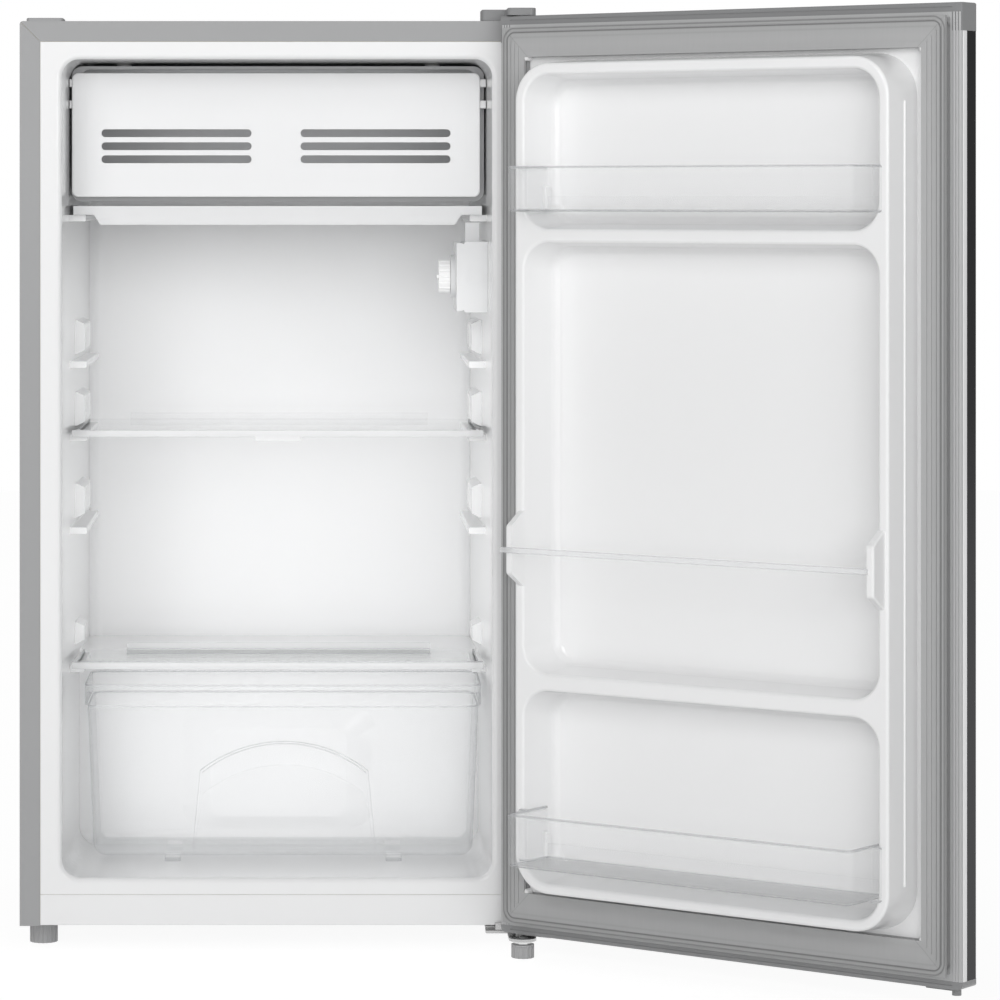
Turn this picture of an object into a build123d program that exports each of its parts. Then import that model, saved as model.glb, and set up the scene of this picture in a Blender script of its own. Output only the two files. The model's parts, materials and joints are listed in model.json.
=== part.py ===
from build123d import *
import math
import os

# Under-counter refrigerator with its door standing open. Millimetres, +Z up, front towards -Y.
# The origin lies on the floor under the middle of the cabinet's front edge.

# ---- Cabinet ----
CAB_W = 472.0
CAB_D = 405.0
CAB_BOTTOM = 20.0
CAB_TOP = 850.0
SHEET = 0.8
PAN_SHEET = 1.0
SHELL_R = 3.0
FRONT_FLANGE = 19.0
FOOT_FLANGE = 14.0
SEAM = 0.3
KICK_H = 29.0

# ---- Food compartment ----
LINER_T = 1.5
WALL_SIDE = 38.5
WALL_TOP = 35.0
WALL_BACK = 55.0
FLOOR_LIFT = 44.0
SIDE_DRAFT = 8.0
TOP_DRAFT = 2.0
MOUTH_R = 16.0
LIP_R = 5.0
REAR_R = 16.0

# ---- Compressor bay behind and below ----
BAY_DEPTH = 158.0
BAY_H = 195.0
BAY_WALL = 35.0
HUMP_EDGE_R = 16.0
HUMP_FOOT_R = 10.0
BOSS_HALF = 94.0
BOSS_LOW = 78.0
BOSS_HIGH = 199.0
BOSS_RISE = 6.0
BOSS_SLOPE = 28.0
BOSS_R = 24.0

# ---- Shelving ----
FRONT_SET = 80.0
GLASS_T = 4.0
SHELF_TOP = 469.5
COVER_TOP = 252.3
SPARE_LEVELS = (538.0, 382.0)
SHELF_DEPTH = 222.0
TRIM_H = 5.6
TRIM_D = 12.0
TRIM_WALL = 1.4
REAR_TRIM_IN = 42.0
LEDGE_T = 6.0
LEDGE_REACH = 11.0
PAD_H = 32.0
PAD_LEN = 106.0
PAD_REACH = 8.5
PAD_SETBACK = 74.0
SIDE_GAP = 3.0
SLIDE_GAP = 0.2

# ---- Freezer box ----
EVAP_SETBACK = 19.5
EVAP_DEPTH = 222.0
EVAP_T = 1.5
EVAP_R = 10.0
EVAP_DROP = 3.0
EVAP_H = 120.0
EVAP_SIDE = 5.5
EVAP_LIP = 5.5
CHANNEL_W = 7.0
CHANNEL_H = 2.2
FLAP_W = 382.0
FLAP_OFFSET = -1.5
FLAP_H = 116.1
FLAP_TOP_GAP = 10.3
FLAP_T = 12.0
FLAP_WALL = 2.2
FLAP_R = 6.0
FLAP_STEP = 13.0
FLAP_PIN_R = 2.0
FLAP_PIN_DROP = 9.4
FLAP_PIN_IN = 6.0
FLAP_PIN_L = 2.3
LUG_H = 7.4
LUG_PITCH = 20.0
SLOT_W = 140.5
SLOT_H = 7.4
SLOT_PITCH = 12.2
SLOT_SPACING = 186.3
SLOT_ROWS = 3
TRAY_GAP = 8.4
TRAY_BAND = 8.5
TRAY_DROP = 9.3
TRAY_BELLY = 332.0
TRAY_SLANT = 6.0
TRAY_D = 210.0
TRAY_T = 2.0

# ---- Thermostat ----
STAT_Z = 614.0
STAT_R = 32.0
STAT_REACH = 29.0
STAT_SETBACK = -18.0
STAT_D = 92.0
STAT_SKIRT = 33.0
KNOB_R = 15.5
KNOB_T = 11.0
KNOB_BOSS_R = 20.0
KNOB_BOSS_T = 4.5
KNOB_SHAFT_R = 3.0
KNOB_GRIPS = 18

# ---- Crisper ----
CRISP_W = 372.0
CRISP_OFFSET = 5.0
CRISP_D = 123.0
CRISP_BOTTOM_GAP = 6.6
CRISP_TOP_GAP = 15.0
CRISP_BAND = 19.7
CRISP_STEP = 2.5
CRISP_DRAFT = 6.0
CRISP_WALL = 2.0
CRISP_R = 14.0
CRISP_FOOT_X = 104.0
GRIP_HALF = 79.0
GRIP_APEX = 107.4
GRIP_SPRING = 80.0
GRIP_BAND = 21.0
GRIP_DEPTH = 15.0
GRIP_FOOT = 7.0
GRIP_FLARE = 7.0

# ---- Door ----
DOOR_GAP = 12.0
DOOR_T = 26.0
DOOR_SHEET = 0.7
DOOR_EDGE_R = 3.0
DOOR_RETURN = 18.0
EDGE_STRIP = 6.5
STRIP_W = 2.4
EAR_W = 10.0
CAP_PROUD = 2.0
DOOR_OVER = 3.0
TOP_CAP_H = 8.0
TOP_CAP_EAR = 24.0
BOTTOM_CAP_H = 7.0
BOTTOM_CAP_R = 5.0
CAP_GROOVE = 0.8
HINGE_INSET = 13.0
HINGE_BACK = 14.0
DOOR_OPEN_DEG = 142.7
FRAME_T = 1.5
FRAME_RIB_R = 0.9
FRAME_RIB_PITCH = 2.8
PLUG_R = 4.0
PLUG_L = 7.0

# ---- Door liner ----
DYKE_HALF = 190.0
DYKE_WALL = 9.5
DYKE_DRAFT = 3.5
POCKET_DRAFT = 6.0
DYKE_H = 44.0
DYKE_TOP_GAP = 7.0
DYKE_BOTTOM_GAP = 8.0
DYKE_R = 34.0
POCKET_R = 25.0
CREST_R = 3.0
ROOT_R = 12.0
TOP_BAND = 10.0
BOTTOM_BAND = 9.0
RIB_1_Z = 654.3
RIB_1_H = 11.6
RIB_2_Z = 256.4
RIB_2_H = 15.0
HORN_Z = 374.5
HORN_FLAT = 43.0
HORN_RAMP = 12.0
HORN_H = 19.0
HORN_INSET = 3.0
HORN_R = 4.0
HORN_EDGE_R = 2.0
BEAD_R = 1.2
BEAD_LIFT = 19.0
BEAD_MARGIN = 38.0

# ---- Gasket ----
GASKET_SIDE_IN = 10.0
GASKET_TOP_IN = 8.0
GASKET_BOTTOM_IN = 11.5
GASKET_W = 23.0
GASKET_TOP_W = 27.0
GASKET_BOTTOM_W = 28.5
GASKET_GAP = 0.5
GASKET_BASE = 3.5
GASKET_FACE = 3.0

# ---- Door bins and rail ----
BIN_GAP = 1.3
BIN_FRONT = 82.0
BIN_BACK = 16.0
BIN_WALL = 2.0
BIN_R = 8.0
BIN_FOOT_R = 5.0
BIN_EAR = 9.0
UPPER_BIN_Z = 675.5
UPPER_BIN_H = 40.5
LOWER_BIN_Z = 95.0
LOWER_BIN_H = 47.0
LUG_W = 6.0
LUG_TALL = 24.0
LUG_IN = 13.0
LUG_REACH = 4.2
RAIL_H = 5.0
RAIL_T = 4.5
RAIL_FREE = 1.0
RAIL_OVER = 3.0

# ---- Hinges ----
PIN_R = 3.0
PIN_FIT = 0.06
BUSH_R = 6.0
BUSH_L = 13.0
TOP_PLATE_T = 2.5
TOP_ARM_W = 23.0
TOP_PLATE_W = 44.0
TOP_PLATE_D = 34.0
ARM_GAP = 0.8
COVER_H = 10.5
COVER_WALL = 1.6
LOW_PLATE_T = 2.5
LOW_ARM_W = 25.0
LOW_PLATE_W = 44.0
LOW_PLATE_D = 36.0
LOW_ARM_OVER = 31.0
STOP_LEN = 38.0
SCREW_R = 2.2
SCREW_HEAD_R = 4.2
SCREW_HEAD_H = 2.4
SCREW_LEN = 9.0

# ---- Feet ----
FOOT_R = 14.5
FOOT_TAPER = 1.6
FOOT_INSET_X = 20.0
FOOT_INSET_Y = 36.0
FOOT_RIBS = 20
SOCKET_H = 18.0
SOCKET_WALL = 3.0
HINGE_FOOT_R = 10.4
HINGE_FOOT_Y = -47.0
STUD_R = 3.9
NUT_AF = 13.0
NUT_H = 2.8
REAR_FOOT_R = 13.0
REAR_FOOT_Y = 28.0
REAR_FOOT_X = 34.0

# ---- Compressor bay fittings ----
PLATE_T = 2.0
PLATE_FLANGE = 12.0
COMP_X = -36.0
COMP_W = 166.0
COMP_D = 124.0
COMP_H = 142.0
COMP_R = 34.0
COMP_WALL = 6.0
GROMMET_R = 11.0
GROMMET_H = 14.0
LEG_T = 3.0
LEG_X = 92.0
LEG_Y = 52.0
PAN_W = 150.0
PAN_D = 108.0
PAN_H = 26.0
PAN_T = 1.8
TUBE_R = 3.0
DRYER_R = 8.5
DRYER_L = 92.0

# ---- Derived places ----
HALF = CAB_W / 2
CAV_HALF = HALF - WALL_SIDE
CAV_TOP = CAB_TOP - WALL_TOP
CAV_BOTTOM = CAB_BOTTOM + FLOOR_LIFT
CAV_DEPTH = CAB_D - WALL_BACK
FLANGE_HALF = HALF - FRONT_FLANGE
FLANGE_TOP = CAB_TOP - FRONT_FLANGE
FLANGE_BOTTOM = CAB_BOTTOM + KICK_H
BAY_FRONT = CAB_D - BAY_DEPTH
BAY_TOP = CAB_BOTTOM + BAY_H
HUMP_FRONT = BAY_FRONT - BAY_WALL
HUMP_TOP = BAY_TOP + BAY_WALL
EVAP_FRONT = FRONT_SET + EVAP_SETBACK
EVAP_TOP = CAV_TOP - TOP_DRAFT - EVAP_DROP
EVAP_BOTTOM = EVAP_TOP - EVAP_H
FLAP_TOP = CAV_TOP - FLAP_TOP_GAP
FLAP_BOTTOM = FLAP_TOP - FLAP_H
FLAP_PIN_Z = FLAP_TOP - FLAP_PIN_DROP
FLAP_PIN_Y = FRONT_SET + FLAP_PIN_IN
TRAY_TOP = FLAP_BOTTOM - TRAY_GAP
TRAY_REST = TRAY_TOP - TRAY_BAND
DOOR_IN = -DOOR_GAP
DOOR_OUT = -(DOOR_GAP + DOOR_T)
CAP_OUT = DOOR_OUT - CAP_PROUD
HINGE_X = HALF - HINGE_INSET
HINGE_Y = DOOR_IN - HINGE_BACK
DOOR_TOP = CAB_TOP + DOOR_OVER
PANEL_TOP = DOOR_TOP - TOP_CAP_H
PANEL_BOTTOM = CAB_BOTTOM + BOTTOM_CAP_H
DOOR_AXIS = Axis((HINGE_X, HINGE_Y, 0), (0, 0, 1))
GASKET_X = HALF - GASKET_SIDE_IN
GASKET_TOP = CAB_TOP - GASKET_TOP_IN
GASKET_BOTTOM = CAB_BOTTOM + GASKET_BOTTOM_IN
RIM_HALF = GASKET_X - GASKET_W
RIM_TOP = GASKET_TOP - GASKET_TOP_W
RIM_BOTTOM = GASKET_BOTTOM + GASKET_BOTTOM_W
RIM_Y = DOOR_IN + 1.0
CREST_Y = RIM_Y + DYKE_H
DYKE_TOP = RIM_TOP - DYKE_TOP_GAP
DYKE_BOTTOM = RIM_BOTTOM + DYKE_BOTTOM_GAP
POCKET_HALF = DYKE_HALF - DYKE_WALL
HORN_Y = CREST_Y + HORN_H


# ---- Small helpers ----
def rect(x0, x1, y0, y1, r=0.0):
    """A rectangle between two corners, with its corners rounded by r."""
    width, height = x1 - x0, y1 - y0
    face = RectangleRounded(width, height, r) if r else Rectangle(width, height)
    return Pos((x0 + x1) / 2, (y0 + y1) / 2) * face


def along_y(face, y0, y1):
    """A front-view outline (x, z) made solid from depth y0 to depth y1."""
    return extrude(Plane.XZ.offset(-y1) * face, amount=y1 - y0)


def along_x(face, x0, x1):
    """A side-view outline (y, z) made solid from x0 to x1."""
    return extrude(Plane.YZ.offset(x0) * face, amount=x1 - x0)


def along_z(face, z0, z1):
    """A plan outline (x, y) made solid from z0 to z1."""
    return extrude(Plane.XY.offset(z0) * face, amount=z1 - z0)


def block(x0, x1, y0, y1, z0, z1):
    return along_z(rect(x0, x1, y0, y1), z0, z1)


def outline(*points):
    return make_face(Polyline(*points, close=True))


def rod(x, y, z0, z1, r):
    return along_z(Pos(x, y) * Circle(r), z0, z1)


def both_sides(shape):
    """A piece and its mirror image across the cabinet's middle."""
    return [shape, mirror(shape, about=Plane.YZ)]


def group(*shapes):
    """One node of several separate solids."""
    solids = []
    for shape in shapes:
        solids.extend(shape.solids())
    return Compound(solids)


def save(name, shape):
    export_step(shape, os.path.join("parts", name + ".step"))


def save_on_door(name, shape):
    """Door pieces are drawn shut and stored swung open about the hinge."""
    save(name, group(*[solid.rotate(DOOR_AXIS, DOOR_OPEN_DEG) for solid in shape.solids()]))


def half_at(y):
    """Half the compartment's width at depth y."""
    return CAV_HALF - SIDE_DRAFT * y / CAV_DEPTH


# ---- Cabinet body ----
def inside_shell(low, high=CAB_TOP - SHEET):
    """Front-view outline of the space inside the folded sheet, its upper corners rounded to match."""
    half = HALF - SHEET
    face = rect(-half, half, low, high)
    return fillet(face.vertices().group_by(Axis.Y)[-1], SHELL_R - SHEET)


def compartment(grow):
    """The air space of the food compartment, its walls moved out by grow."""
    front = Plane.XZ * rect(
        -CAV_HALF - grow, CAV_HALF + grow, CAV_BOTTOM - grow, CAV_TOP + grow, MOUTH_R + grow
    )
    rear_half = CAV_HALF - SIDE_DRAFT + grow
    rear = Plane.XZ.offset(-(CAV_DEPTH + grow)) * rect(
        -rear_half, rear_half, CAV_BOTTOM - grow, CAV_TOP - TOP_DRAFT + grow, MOUTH_R + grow
    )
    space = loft([front, rear], ruled=True)
    space = fillet(space.faces().sort_by(Axis.Y)[-1].edges(), REAR_R + grow - 2.0)
    return space - hump(grow)


def hump(grow):
    """The step over the compressor bay, cut back by grow."""
    front, top = HUMP_FRONT + grow, HUMP_TOP - grow
    floor, far = CAV_BOTTOM - grow, CAB_D + 50
    step = outline(
        (front - 60, floor - 40),
        (front - 60, floor),
        (front, floor),
        (front, top),
        (far, top),
        (far, floor - 40),
    )
    corners = step.vertices()
    edge = corners.sort_by_distance((front, top, 0))[0]
    step = fillet(edge, HUMP_EDGE_R - grow)
    foot = step.vertices().sort_by_distance((front, floor, 0))[0]
    step = fillet(foot, HUMP_FOOT_R + grow)
    return along_x(step, -CAB_W, CAB_W) + boss(front)


def boss(back):
    """Shallow raised field on the step's face, with sides that slope back to it."""
    half = BOSS_HALF - BOSS_SLOPE
    outer = rect(-BOSS_HALF, BOSS_HALF, BOSS_LOW, BOSS_HIGH, BOSS_R)
    inner = rect(-half, half, BOSS_LOW + BOSS_R / 2, BOSS_HIGH - BOSS_R, BOSS_R / 2)
    field = loft([Plane.XZ.offset(-back) * outer, Plane.XZ.offset(BOSS_RISE - back) * inner], ruled=True)
    return fillet(field.faces().sort_by(Axis.Y)[0].edges(), BOSS_R / 4)


def mouth(grow):
    """The compartment with the flat front flange ahead of it and a rounded lip between them."""
    slab = along_y(rect(-FLANGE_HALF, FLANGE_HALF, FLANGE_BOTTOM, FLANGE_TOP), -20, grow)
    space = slab + compartment(grow)
    reach = CAV_HALF + grow + 1

    def on_lip(edge):
        c = edge.center()
        return abs(c.Y - grow) < 0.01 and abs(c.X) < reach and CAV_BOTTOM - 5 < c.Z < CAV_TOP + 5

    return fillet(space.edges().filter_by(on_lip), LIP_R - grow)


def shelf_levels():
    return (SHELF_TOP, COVER_TOP) + SPARE_LEVELS


def wall_forms():
    """Ledges and hold-down pads on the side walls, one pair at each shelf level, and the tray's runners."""
    forms = []
    for top in shelf_levels():
        under = top - GLASS_T
        rear = HUMP_FRONT - 2 if top == COVER_TOP else FRONT_SET + SHELF_DEPTH + 12
        front = FRONT_SET + TRIM_D + SIDE_GAP
        inner = half_at(rear) - LEDGE_REACH
        ledge = block(inner, CAV_HALF + 5, front, rear, under - LEDGE_T, under)
        ledge = fillet(ledge.faces().sort_by(Axis.X)[0].edges(), 1.5)
        forms.append(ledge)
        if top != COVER_TOP:
            forms.append(pad(top + 1.0, FRONT_SET + PAD_SETBACK, PAD_LEN))
    forms.append(pad(COVER_TOP + 10.0, FRONT_SET + PAD_SETBACK, PAD_LEN / 2, PAD_H * 0.65))
    runner_in = TRAY_BELLY / 2 + TRAY_SLANT + 8
    front, rear = FRONT_SET + 10, FRONT_SET + TRAY_D
    runner = block(runner_in, CAV_HALF + 5, front, rear, TRAY_REST - LEDGE_T, TRAY_REST)
    forms.append(fillet(runner.faces().sort_by(Axis.X)[0].edges(), 1.5))
    return forms


def pad(bottom, front, length, height=PAD_H):
    """A pillow-shaped swelling of the side wall that keeps a shelf from tipping."""
    inner = half_at(front + length / 2) - PAD_REACH
    swell = block(inner, CAV_HALF + 5, front, front + length, bottom, bottom + height)
    face = swell.faces().sort_by(Axis.X)[0]
    swell = chamfer(face.edges(), PAD_REACH * 0.45, PAD_REACH * 0.9)
    return fillet(swell.faces().sort_by(Axis.X)[0].edges(), 2.0)


def inner_liner():
    sheet = mouth(LINER_T) - mouth(0)
    limit = compartment(LINER_T)
    forms = []
    for form in wall_forms():
        forms += both_sides(form & limit)
    return sheet + forms


def outer_shell():
    """One sheet folded over the top and down both sides, with a front flange and a foot flange."""
    over = rect(-HALF, HALF, CAB_BOTTOM, CAB_TOP, SHELL_R)
    over += rect(-HALF, HALF, CAB_BOTTOM, CAB_BOTTOM + 20)
    under = rect(-HALF + SHEET, HALF - SHEET, CAB_BOTTOM - 5, CAB_TOP - SHEET, SHELL_R - SHEET)
    wrap = along_y(over - under, 0, CAB_D)
    front = over - rect(-FLANGE_HALF - SEAM, FLANGE_HALF + SEAM, CAB_BOTTOM - 5, FLANGE_TOP + SEAM)
    wrap += along_y(front, 0, SHEET)
    for side in (-1, 1):
        wrap -= Pos(side * (HALF - FRONT_FLANGE / 2), 0, CAB_TOP - FRONT_FLANGE / 2) * (
            Rot(0, side * 45, 0) * Box(0.3, 4 * SHEET, FRONT_FLANGE * 1.25)
        )
    foot = block(HALF - FOOT_FLANGE, HALF - SHEET, SHEET, CAB_D, CAB_BOTTOM, CAB_BOTTOM + SHEET)
    return wrap + both_sides(foot) - foot_bore() - screw_bores()


def base_pan():
    """A bent sheet: cabinet floor, then up and over the compressor bay."""
    low = CAB_BOTTOM + SHEET
    path = outline(
        (LINER_T, low),
        (BAY_FRONT + PAN_SHEET, low),
        (BAY_FRONT + PAN_SHEET, BAY_TOP - PAN_SHEET),
        (CAB_D - SHEET, BAY_TOP - PAN_SHEET),
        (CAB_D - SHEET, BAY_TOP),
        (BAY_FRONT, BAY_TOP),
        (BAY_FRONT, low + PAN_SHEET),
        (LINER_T, low + PAN_SHEET),
    )
    return along_x(path, -HALF + SHEET, HALF - SHEET) - foot_bore() - screw_bores()


def back_panel():
    """Pressed rear sheet with a raised border and upright stiffening beads."""
    inside = HALF - SHEET
    plate = along_y(inside_shell(BAY_TOP), CAB_D - SHEET, CAB_D)
    count = 5
    spacing = (2 * inside - 120) / (count - 1)
    low, high = BAY_TOP + 45, CAB_TOP - 50
    beads = [
        along_y(rect(x - 7, x + 7, low, high, 6.9), CAB_D, CAB_D + 2)
        for x in [-inside + 60 + spacing * i for i in range(count)]
    ]
    beads = [chamfer(b.faces().sort_by(Axis.Y)[-1].edges(), 1.4) for b in beads]
    return plate + beads


def cabinet_foam(liner_space):
    foam = along_y(inside_shell(CAB_BOTTOM + SHEET + PAN_SHEET), LINER_T, CAB_D - SHEET)
    foam -= block(-CAB_W, CAB_W, BAY_FRONT, CAB_D + 5, 0, BAY_TOP)
    foam -= foot_bore()
    return foam - screw_bores() - liner_space


def kick_plate():
    """The white strip below the compartment, with a return along its foot."""
    half = FLANGE_HALF
    face = along_y(rect(-half, half, CAB_BOTTOM + SHEET, FLANGE_BOTTOM - SEAM), 0, LINER_T)
    return fillet(face.edges().filter_by(Axis.X).group_by(Axis.Y)[0], 0.6)


# ---- Freezer box ----
def evaporator():
    """Roll-bond box of sheet aluminium, open in front, with raised refrigerant channels."""
    half = half_at(EVAP_FRONT + EVAP_DEPTH) - EVAP_SIDE + 2
    back = EVAP_FRONT + EVAP_DEPTH
    outer = rect(-half, half, EVAP_BOTTOM, EVAP_TOP, EVAP_R)
    inner = rect(-half + EVAP_T, half - EVAP_T, EVAP_BOTTOM + EVAP_T, EVAP_TOP - EVAP_T, EVAP_R - EVAP_T)
    box = along_y(outer, EVAP_FRONT, back) - along_y(inner, EVAP_FRONT - 1, back - EVAP_T)
    lip_half = half_at(EVAP_FRONT) - SEAM - 1
    lip = rect(-lip_half, lip_half, EVAP_BOTTOM - EVAP_LIP, EVAP_TOP + 1.5, EVAP_R) - inner
    box += along_y(lip, EVAP_FRONT, EVAP_FRONT + EVAP_T)
    return box + channels(half, EVAP_FRONT + 20, back - 20)


def channels(half, front, back):
    """The serpentine channel pressed up into the floor of the box."""
    reach = half - 30
    rows = 6
    step = (back - front) / (rows - 1)
    points = []
    for i in range(rows):
        ends = (-reach, reach) if i % 2 == 0 else (reach, -reach)
        points += [(x, front + step * i) for x in ends]
    path = FilletPolyline(*points, radius=step * 0.45)
    ridge = along_z(trace(path, CHANNEL_W), EVAP_BOTTOM + EVAP_T, EVAP_BOTTOM + EVAP_T + CHANNEL_H)
    return chamfer(ridge.faces().sort_by(Axis.Z)[-1].edges(), CHANNEL_H * 0.6)


def evaporator_hangers():
    """Spacers that hold the freezer box under the compartment's ceiling."""
    posts = []
    for y in (EVAP_FRONT + 40, EVAP_FRONT + EVAP_DEPTH - 40):
        ceiling = CAV_TOP - TOP_DRAFT * (y + 7) / CAV_DEPTH
        posts += both_sides(rod(HALF * 0.62, y, EVAP_TOP, ceiling, 7))
    return group(*posts)


def freezer_flap():
    """Moulded flap: a tray-shaped panel with six vent slots and a hinge pin at each end."""
    left, right = FLAP_OFFSET - FLAP_W / 2, FLAP_OFFSET + FLAP_W / 2
    y0, y1 = FRONT_SET, FRONT_SET + FLAP_T
    panel = along_y(rect(left, right, FLAP_BOTTOM, FLAP_TOP, FLAP_R), y0, y1)
    panel = fillet(panel.faces().sort_by(Axis.Y)[0].edges(), 1.6)
    hollow = rect(
        left + FLAP_WALL, right - FLAP_WALL, FLAP_BOTTOM + FLAP_WALL, FLAP_TOP - FLAP_WALL, FLAP_R - FLAP_WALL
    )
    panel -= along_y(hollow, y0 + FLAP_WALL, y1 + 1)
    step = rect(
        left + FLAP_STEP, right - FLAP_STEP, FLAP_BOTTOM + FLAP_STEP, FLAP_TOP - FLAP_STEP, FLAP_R
    )
    panel -= along_y(step, y0 - 1, y0 + 0.7)
    middle = (FLAP_BOTTOM + FLAP_TOP) / 2 - 10.5
    for side in (-1, 1):
        for row in range(SLOT_ROWS):
            z = middle + (row - (SLOT_ROWS - 1) / 2) * SLOT_PITCH
            slot = Pos(FLAP_OFFSET + side * SLOT_SPACING / 2, z) * SlotOverall(SLOT_W, SLOT_H)
            panel -= along_y(slot, y0 - 1, y1)
    pin = Pos(FLAP_PIN_Y, FLAP_PIN_Z) * Circle(FLAP_PIN_R)
    panel += along_x(pin, left - FLAP_PIN_L, left + 1)
    return panel + along_x(pin, right - 1, right + FLAP_PIN_L)


def flap_lugs():
    """White bearing lugs beside the flap: the upper pair carries its pins, the lower pair steadies it."""
    lugs = []
    for side in (-1, 1):
        edge = FLAP_OFFSET + side * (FLAP_W / 2 + SEAM)
        wall = side * (half_at(EVAP_FRONT) - SEAM)
        x0, x1 = sorted((edge, wall))
        for k in (0, 1):
            z = FLAP_PIN_Z - k * LUG_PITCH
            profile = rect(FRONT_SET + 2.5, EVAP_FRONT, z - LUG_H / 2, z + LUG_H / 2, 1.2)
            if k == 0:
                profile -= Pos(FLAP_PIN_Y, z) * Circle(FLAP_PIN_R + PIN_FIT)
            lugs.append(along_x(profile, x0, x1))
    return group(*lugs)


def drip_tray():
    """Shallow tray under the freezer box, hung by its rim on the wall runners."""
    half = half_at(FRONT_SET + TRAY_D) - SIDE_GAP
    belly = TRAY_BELLY / 2
    low = TRAY_REST - TRAY_DROP + SLIDE_GAP
    rest = TRAY_REST + SLIDE_GAP
    top = TRAY_TOP

    def section(inset, half_width):
        return outline(
            (-half_width + inset, top + inset),
            (-half_width + inset, rest + inset),
            (-belly - TRAY_SLANT + inset, rest + inset),
            (-belly + inset, low + inset),
            (belly - inset, low + inset),
            (belly + TRAY_SLANT - inset, rest + inset),
            (half_width - inset, rest + inset),
            (half_width - inset, top + inset),
        )

    y0, y1 = FRONT_SET, FRONT_SET + TRAY_D
    tray = along_y(section(0, half), y0, y1)
    tray -= along_y(section(TRAY_T, half), y0 + TRAY_T, y1 - TRAY_T)
    face_half = half_at(FRONT_SET) - SIDE_GAP - 1.5
    tray += along_y(rect(-face_half, face_half, rest, top), y0, y0 + TRAY_T)
    return tray


# ---- Thermostat ----
def stat_place():
    """The wall, the inner end and the front of the thermostat housing."""
    front = FRONT_SET + STAT_SETBACK
    wall = half_at(front)
    return wall, wall - STAT_REACH, front


def thermostat_housing():
    wall, inner, front = stat_place()
    centre = inner - 2
    drum = Pos(centre, STAT_Z) * Circle(STAT_R)
    face = drum & rect(inner, wall + 10, STAT_Z - STAT_R, STAT_Z + STAT_R)
    face += rect(inner + 7, wall + 10, STAT_Z - STAT_SKIRT, STAT_Z + STAT_SKIRT, 2)
    body = along_y(face, front, front + STAT_D)
    neck = block(wall - 20, wall - 7, front + 30, front + 50, STAT_Z, TRAY_REST - LEDGE_T - 1)
    body += neck
    boss_y = front + STAT_D / 2
    boss = along_x(Pos(boss_y, STAT_Z) * Circle(KNOB_BOSS_R), inner - KNOB_BOSS_T, inner + 3)
    body += boss
    body &= compartment(-0.1)
    ring = along_y(Pos(wall - 12, STAT_Z) * (Circle(8) - Circle(6.6)), front - 0.8, front + 0.5)
    shaft = along_x(Pos(boss_y, STAT_Z) * Circle(KNOB_SHAFT_R), inner - KNOB_BOSS_T - KNOB_T + 2.5, inner)
    return body + ring + shaft


def thermostat_knob():
    """Ribbed knob with a pointer ridge on its face, turning on the thermostat's shaft."""
    wall, inner, front = stat_place()
    y = front + STAT_D / 2
    near = inner - KNOB_BOSS_T - SEAM
    far = near - KNOB_T
    rim = Circle(KNOB_R)
    for i in range(KNOB_GRIPS):
        rim -= Rot(0, 0, i * 360 / KNOB_GRIPS) * Pos(KNOB_R + 0.6, 0) * Circle(1.4)
    knob = along_x(Pos(y, STAT_Z) * rim, far, near)
    knob += along_x(Pos(y, STAT_Z) * Rectangle(KNOB_R * 1.5, 3), far - 1.5, far + 1)
    return knob - along_x(Pos(y, STAT_Z) * Circle(KNOB_SHAFT_R + PIN_FIT), far + 2.2, near + 1)


# ---- Shelves and crisper ----
def glass(top, depth):
    """A toughened pane that rests on the wall ledges."""
    half = half_at(FRONT_SET + SHELF_DEPTH) - 2.2
    pane = rect(-half, half, FRONT_SET + TRIM_WALL, FRONT_SET + depth - TRIM_WALL, 3)
    return along_z(pane, top - GLASS_T, top)


def shelf_trims(top, depth, tab):
    """Clear edge strips gripping the front and rear of a pane."""
    half = half_at(FRONT_SET) - SIDE_GAP
    rear_half = half_at(FRONT_SET + SHELF_DEPTH) - 2.2 - REAR_TRIM_IN
    lip = 0.6
    front = rect(FRONT_SET, FRONT_SET + TRIM_D, top - TRIM_H, top + lip, 0.5)
    front -= rect(FRONT_SET + TRIM_WALL, FRONT_SET + TRIM_D + 1, top - GLASS_T, top)
    strip = along_x(front, -half, half)
    if tab:
        thumb = along_y(rect(-21.5, 21.5, top - TRIM_H - 4, top - TRIM_H + 1, 1.5), FRONT_SET, FRONT_SET + 2)
        strip += thumb
    back = FRONT_SET + depth
    rear = rect(back - TRIM_D, back, top - TRIM_H, top + 6, 0.5)
    rear -= rect(back - TRIM_D - 1, back - TRIM_WALL, top - GLASS_T, top)
    rear -= rect(back - TRIM_D - 1, back - 2 * TRIM_WALL, top + lip, top + 7)
    return group(strip, along_x(rear, -rear_half, rear_half))


def crisper_span():
    """Floor, rim and depth of the drawer."""
    low = CAV_BOTTOM + CRISP_BOTTOM_GAP
    return low, COVER_TOP - TRIM_H - CRISP_TOP_GAP, FRONT_SET + CRISP_D


def crisper_shape(inset):
    """The drawer's outside form, moved in by inset: a tapered tub with a stepped-out rim band."""
    low, rim, back = crisper_span()
    left = CRISP_OFFSET - CRISP_W / 2 + inset
    right = CRISP_OFFSET + CRISP_W / 2 - inset
    front, rear = FRONT_SET + inset, back - inset
    step = rim - CRISP_BAND
    floor = Plane.XY.offset(low + inset) * rect(
        left + CRISP_DRAFT + CRISP_STEP,
        right - CRISP_DRAFT - CRISP_STEP,
        front + CRISP_STEP * 0.4,
        rear - CRISP_DRAFT,
        CRISP_R - inset,
    )
    top = Plane.XY.offset(step) * rect(
        left + CRISP_STEP, right - CRISP_STEP, front, rear - CRISP_STEP, CRISP_R - inset
    )
    tub = loft([floor, top], ruled=True)
    tub = fillet(tub.faces().sort_by(Axis.Z)[0].edges(), CRISP_R - inset - 2)
    return tub + along_z(rect(left, right, front, rear, CRISP_R - inset), step, rim + (5 if inset else 0))


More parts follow.
